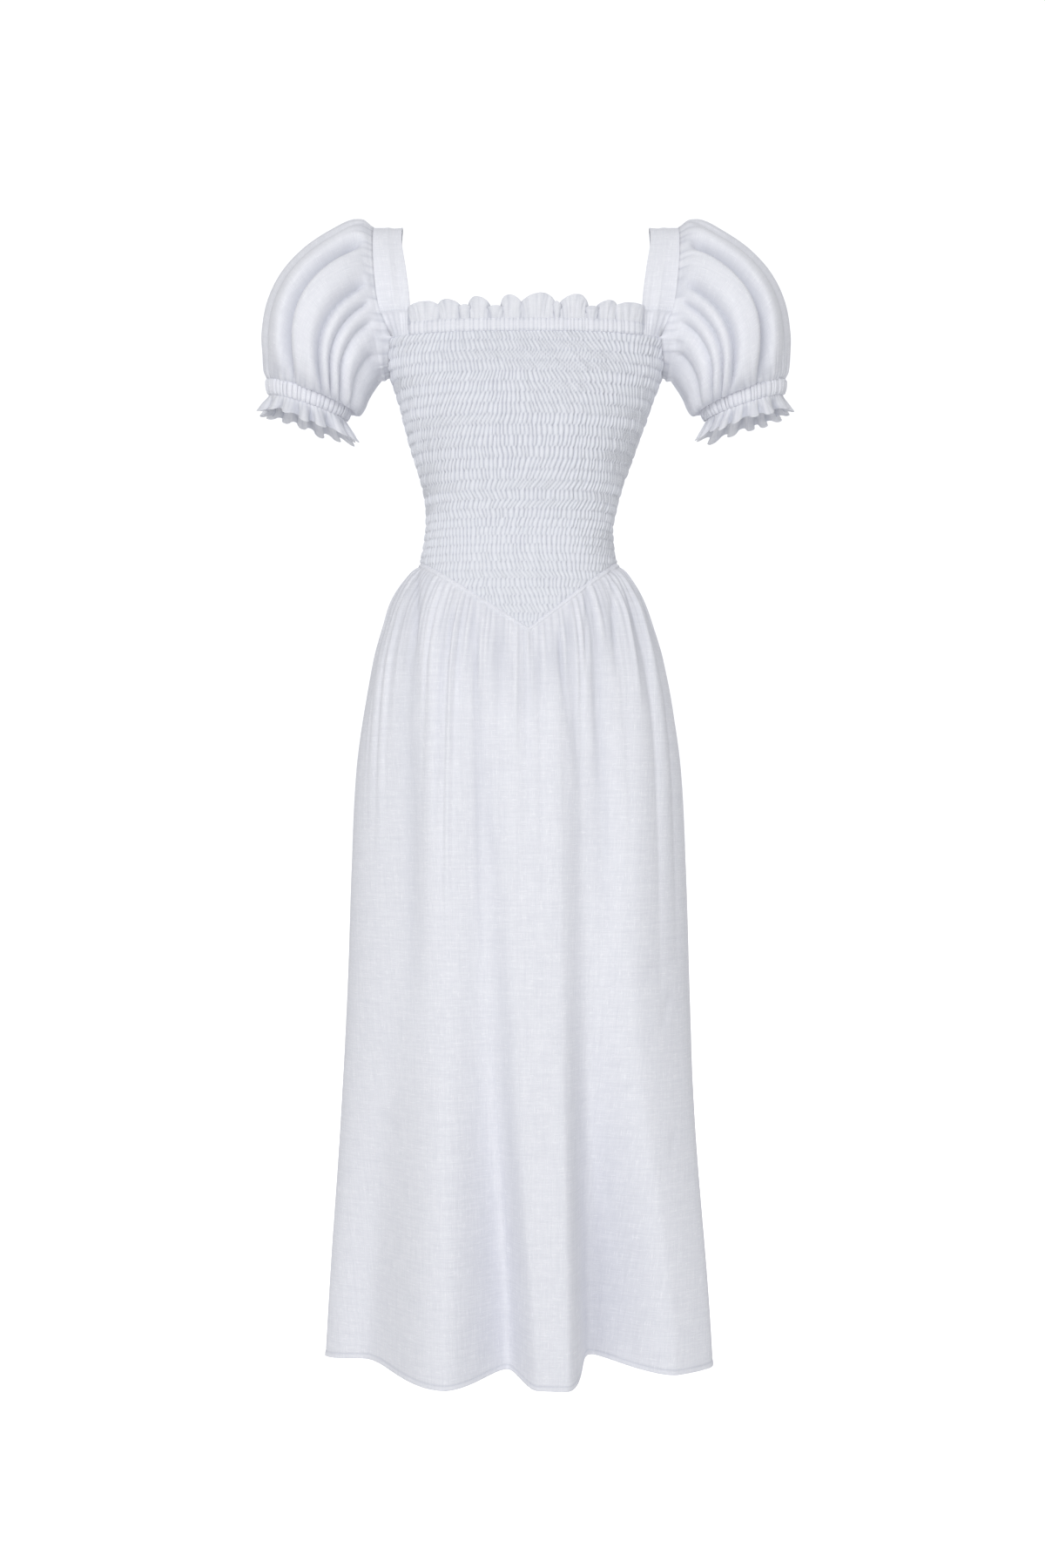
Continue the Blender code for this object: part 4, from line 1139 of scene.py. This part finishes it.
# Softer creases, from one point to another on the cloth: x and z as seen from the front.
Crease = namedtuple("Crease", "top_x top_z foot_x foot_z half_width height")
FRONT_CREASES = in_mm(
    Crease, Crease._fields,
    (-87, -400, -96, -700, 3, -2.4),
    (-56, -395, -49, -850, 3.4, -2.6),
    (30, -420, 52, -600, 2.8, -2.2),
    (70, -385, 64, -560, 3, -2.4),
    (94, -370, 101, -520, 2.8, -2.2),
    (-118, -370, -121, -500, 2.8, -2.2),
    (-54, -440, -45, -640, 5, -2.4),
    (-40, -440, -33, -700, 7.5, 2.4),
    (44, -445, 64, -660, 6, -2.6),
    (56, -430, 80, -620, 7, 2.2),
    (72, -420, 86, -640, 5.5, -2.6),
    (112, -410, 140, -560, 8, -2.2),
    (-117, -405, -124, -560, 6, -2.6),
    (-99, -415, -103, -620, 7, 2),
    (-30, -500, -35, -580, 4, 1.6),
    (-130, -470, -123, -900, 12, -3),
    (-48, -600, -34, -760, 8, -2.2),
    (-34, -740, -2, -1180, 10, -2.6),
    (60, -640, 54, -1250, 12, -1),
    (80, -500, 96, -820, 11, -2.6),
    (110, -560, 118, -960, 16, 2.6),
    (-179, -1005, -137, -1022, 4, -1.4),
    (119, -843, 166, -835, 4, -1.4),
    (166, -862, 148, -912, 4, -1.2),
    (166, -1020, 156, -1055, 4, -1.2),
    (190, -1070, 175, -1086, 3.5, -1.2),
    (3, -1040, 22, -1050, 4, -1.2),
)


def long_fold_height(folds, place, share):
    """Height of the skirt's long folds at a place across it and a share of the way down."""
    fall, rise = ease(0.42, 1.0, share) ** 1.25, ease(0.03, 0.35, share)
    height = np.zeros_like(place)
    for first, second in zip(folds, folds[1:]):
        start = mix(first.middle_place, first.hem_place, fall)
        end = mix(second.middle_place, second.hem_place, fall)
        here = (place >= start) & (place <= end)
        low = mix(first.middle_height, first.hem_height, fall)
        high = mix(second.middle_height, second.hem_height, fall)
        bend = np.clip((place - start) / (end - start), 0, 1)
        height = np.where(here, mix(low, high, bend * bend * (3 - 2 * bend)), height)
    return height * rise


def crease_height(creases, x, z):
    height = np.zeros_like(x)
    for crease in creases:
        run_x, run_z = crease.foot_x - crease.top_x, crease.foot_z - crease.top_z
        length = math.hypot(run_x, run_z)
        along = ((x - crease.top_x) * run_x + (z - crease.top_z) * run_z) / length**2
        aside = ((x - crease.top_x) * run_z - (z - crease.top_z) * run_x) / length
        ends = np.sin(math.pi * np.clip(along, 0, 1)) ** 0.7
        height += crease.height * np.exp(-((aside / crease.half_width) ** 2)) * ends
    return height


def skirt_form(place, share, facing, folds, creases, gather_count, seed, proud=0.0):
    """Points on the skirt's outer face."""
    _, _, _, side_centre = on_curve(TORSO, SIDE_WAIST)[:, 0]
    seam_z = np.full_like(place, SIDE_WAIST)
    for _ in range(12):
        seam_x, seam_y = torso_point(place, seam_z, facing)
        seam_z = waist_seam_z(seam_x, facing)
    half_width, front_depth, back_depth = on_curve(SKIRT, share)
    depth = front_depth if facing < 0 else back_depth
    power = mix(TORSO_SQUARENESS, SKIRT_SQUARENESS, ease(0, 0.3, share))
    x, out = oval(place, half_width, depth, power)
    centre = mix(side_centre, SKIRT_CENTRE_X, share)
    waist_depth = SKIRT[0].front_depth if facing < 0 else SKIRT[0].back_depth
    waist_x, waist_out = oval(place, SKIRT[0].half_width, waist_depth, TORSO_SQUARENESS)
    near = 1 - ease(0, 0.12, share)
    lean_x, lean_y = x / half_width**2, facing * out / depth**2
    size = np.hypot(lean_x, lean_y)
    fold = long_fold_height(folds, place, share)
    px = centre + x + near * (seam_x - side_centre - waist_x)
    z = mix(seam_z - SEAM_GAP, HEM, share) - HEM_DROP * fold * share
    sewn = ease(0, 0.05, 1 - np.abs(place))
    small = tucks(place, gather_count, seed, share, (0.04, 0.26), uneven=0.55)
    soft = tucks(place, gather_count // 3, seed + 1, share, (0.12, 0.7), sharp=0.9, uneven=0.7)
    below_welt = ease(0.6 * WELT_SHARE, 2.2 * WELT_SHARE, share)
    ripple = SKIRT_TUCK * small * (0.12 + 0.88 * below_welt) - WELT_STEP * below_welt
    ripple += SKIRT_SOFT_TUCK * soft * ease(0, 0.06, share)
    welt = np.clip(share / WELT_SHARE, 0, 1)
    z = z + WELT_RISE * (1 - welt) ** 2
    ripple += WELT_ROUND * np.sin(math.pi * welt) - WELT_SET_IN * (1 - welt)
    hemmed = HEM_TURN * ease(HEM_TURN_SHARE + HEM_LINE_SHARE, HEM_TURN_SHARE, 1 - share)
    hem_line = np.exp(-(((1 - share - HEM_TURN_SHARE) / HEM_LINE_SHARE) ** 2))
    hemmed -= 1.3 * HEM_TURN * hem_line
    creased = crease_height(creases, px, z)
    lift = SMOCKED_LINEN + fold + sewn * (ripple + creased) + hemmed + proud
    y = facing * out + near * (seam_y - facing * waist_out)
    points = np.stack([px + lean_x / size * lift, y + lean_y / size * lift, z], 1)
    points[:, 1] = np.where(np.abs(place) >= 1, facing * SEAM_GAP / 2, points[:, 1])
    # Painted shade: darker between the gathers near the seam, in the creases' valleys, between the
    # soft gathers and along the turned hem's line.
    painted_shade = below_welt * (1 - ease(0.0, 0.15, share)) * (0.52 - small)
    painted_shade = np.maximum(painted_shade, 0) + 0.24 * np.clip(-creased / DEEP_CREASE, 0, 1)
    painted_shade += (1 - ease(0.05, 0.4, share)) * np.clip(0.1 - 0.3 * soft, 0, 1)
    painted_shade += 0.35 * hem_line
    return points, painted_shade


def skirt_panel(name, facing, folds, creases, gather_count, seed, columns, rows):
    place_at, _ = evened_places(facing)

    def form(across, step):
        place = place_at(across)
        share = np.interp(step / rows, ROW_STOPS, SHARE_STOPS)
        points, painted_shade = skirt_form(place, share, facing, folds, creases, gather_count, seed)
        return points, np.stack([across * mix(0.2, 0.32, share), points[:, 2]], 1), painted_shade

    piece = lay_cloth(name, columns, rows, form)
    thicken(piece, LINEN_THICKNESS)
    place = np.linspace(-0.998, 0.998, 2400)

    def path(proud):
        share = np.full_like(place, 1 - HEM_TURN_SHARE)
        return skirt_form(place, share, facing, folds, creases, gather_count, seed, proud)

    sew(f"{name}_hem_stitches", path, pitch=0.0036, length=0.0026)
    return piece


skirt_linen = linen_finish("skirt_linen", (0.72, 0.73, 0.79), (0.93, 0.935, 0.975), 0.0004)
front_skirt = skirt_panel(
    "front_skirt", -1, FRONT_FOLDS, FRONT_CREASES,
    gather_count=62, seed=71, columns=230, rows=180,
)
put_on(front_skirt, "skirt_front", skirt_linen)


# Skirt, back
# A panel of the same linen, gathered into a level waist seam, and sewn to the front one along both
# sides. It falls in folds of the same kind.
BACK_FOLDS = in_mm(
    LongFold, LongFold._fields[2:],
    (-1, -1, 0, 0), (-0.82, -0.82, -8, -16), (-0.62, -0.6, 10, 34), (-0.38, -0.36, -12, -28),
    (-0.12, -0.13, 12, 36), (0.14, 0.11, -12, -26), (0.34, 0.3, 10, 30), (0.5, 0.45, -9, -12),
    (0.66, 0.63, 10, 72), (0.86, 0.87, -6, -18), (1, 1, 0, -10),
)
BACK_CREASES = in_mm(
    Crease, Crease._fields,
    (-75, -385, -86, -660, 3, -2.4),
    (-42, -380, -50, -560, 3, -2.4),
    (20, -380, 25, -740, 3.4, -2.6),
    (55, -385, 64, -540, 2.8, -2.2),
    (-90, -395, -112, -620, 7, -2.6),
    (-62, -400, -70, -700, 8, 2.4),
    (-25, -395, -30, -600, 6, -2.6),
    (8, -400, 4, -720, 9, 2.4),
    (35, -395, 48, -580, 6, -2.4),
    (72, -400, 95, -680, 8, 2.2),
    (-125, -600, -130, -1000, 14, -2.8),
    (20, -700, 0, -1150, 12, -2.6),
    (120, -650, 130, -1050, 13, 2.6),
    (-90, -980, -50, -1000, 4, -1.4),
    (70, -900, 115, -890, 4, -1.4),
    (-20, -1080, 10, -1100, 4, -1.2),
)
back_skirt = skirt_panel(
    "back_skirt", 1, BACK_FOLDS, BACK_CREASES,
    gather_count=60, seed=81, columns=190, rows=130,
)
put_on(back_skirt, "skirt_back", skirt_linen)
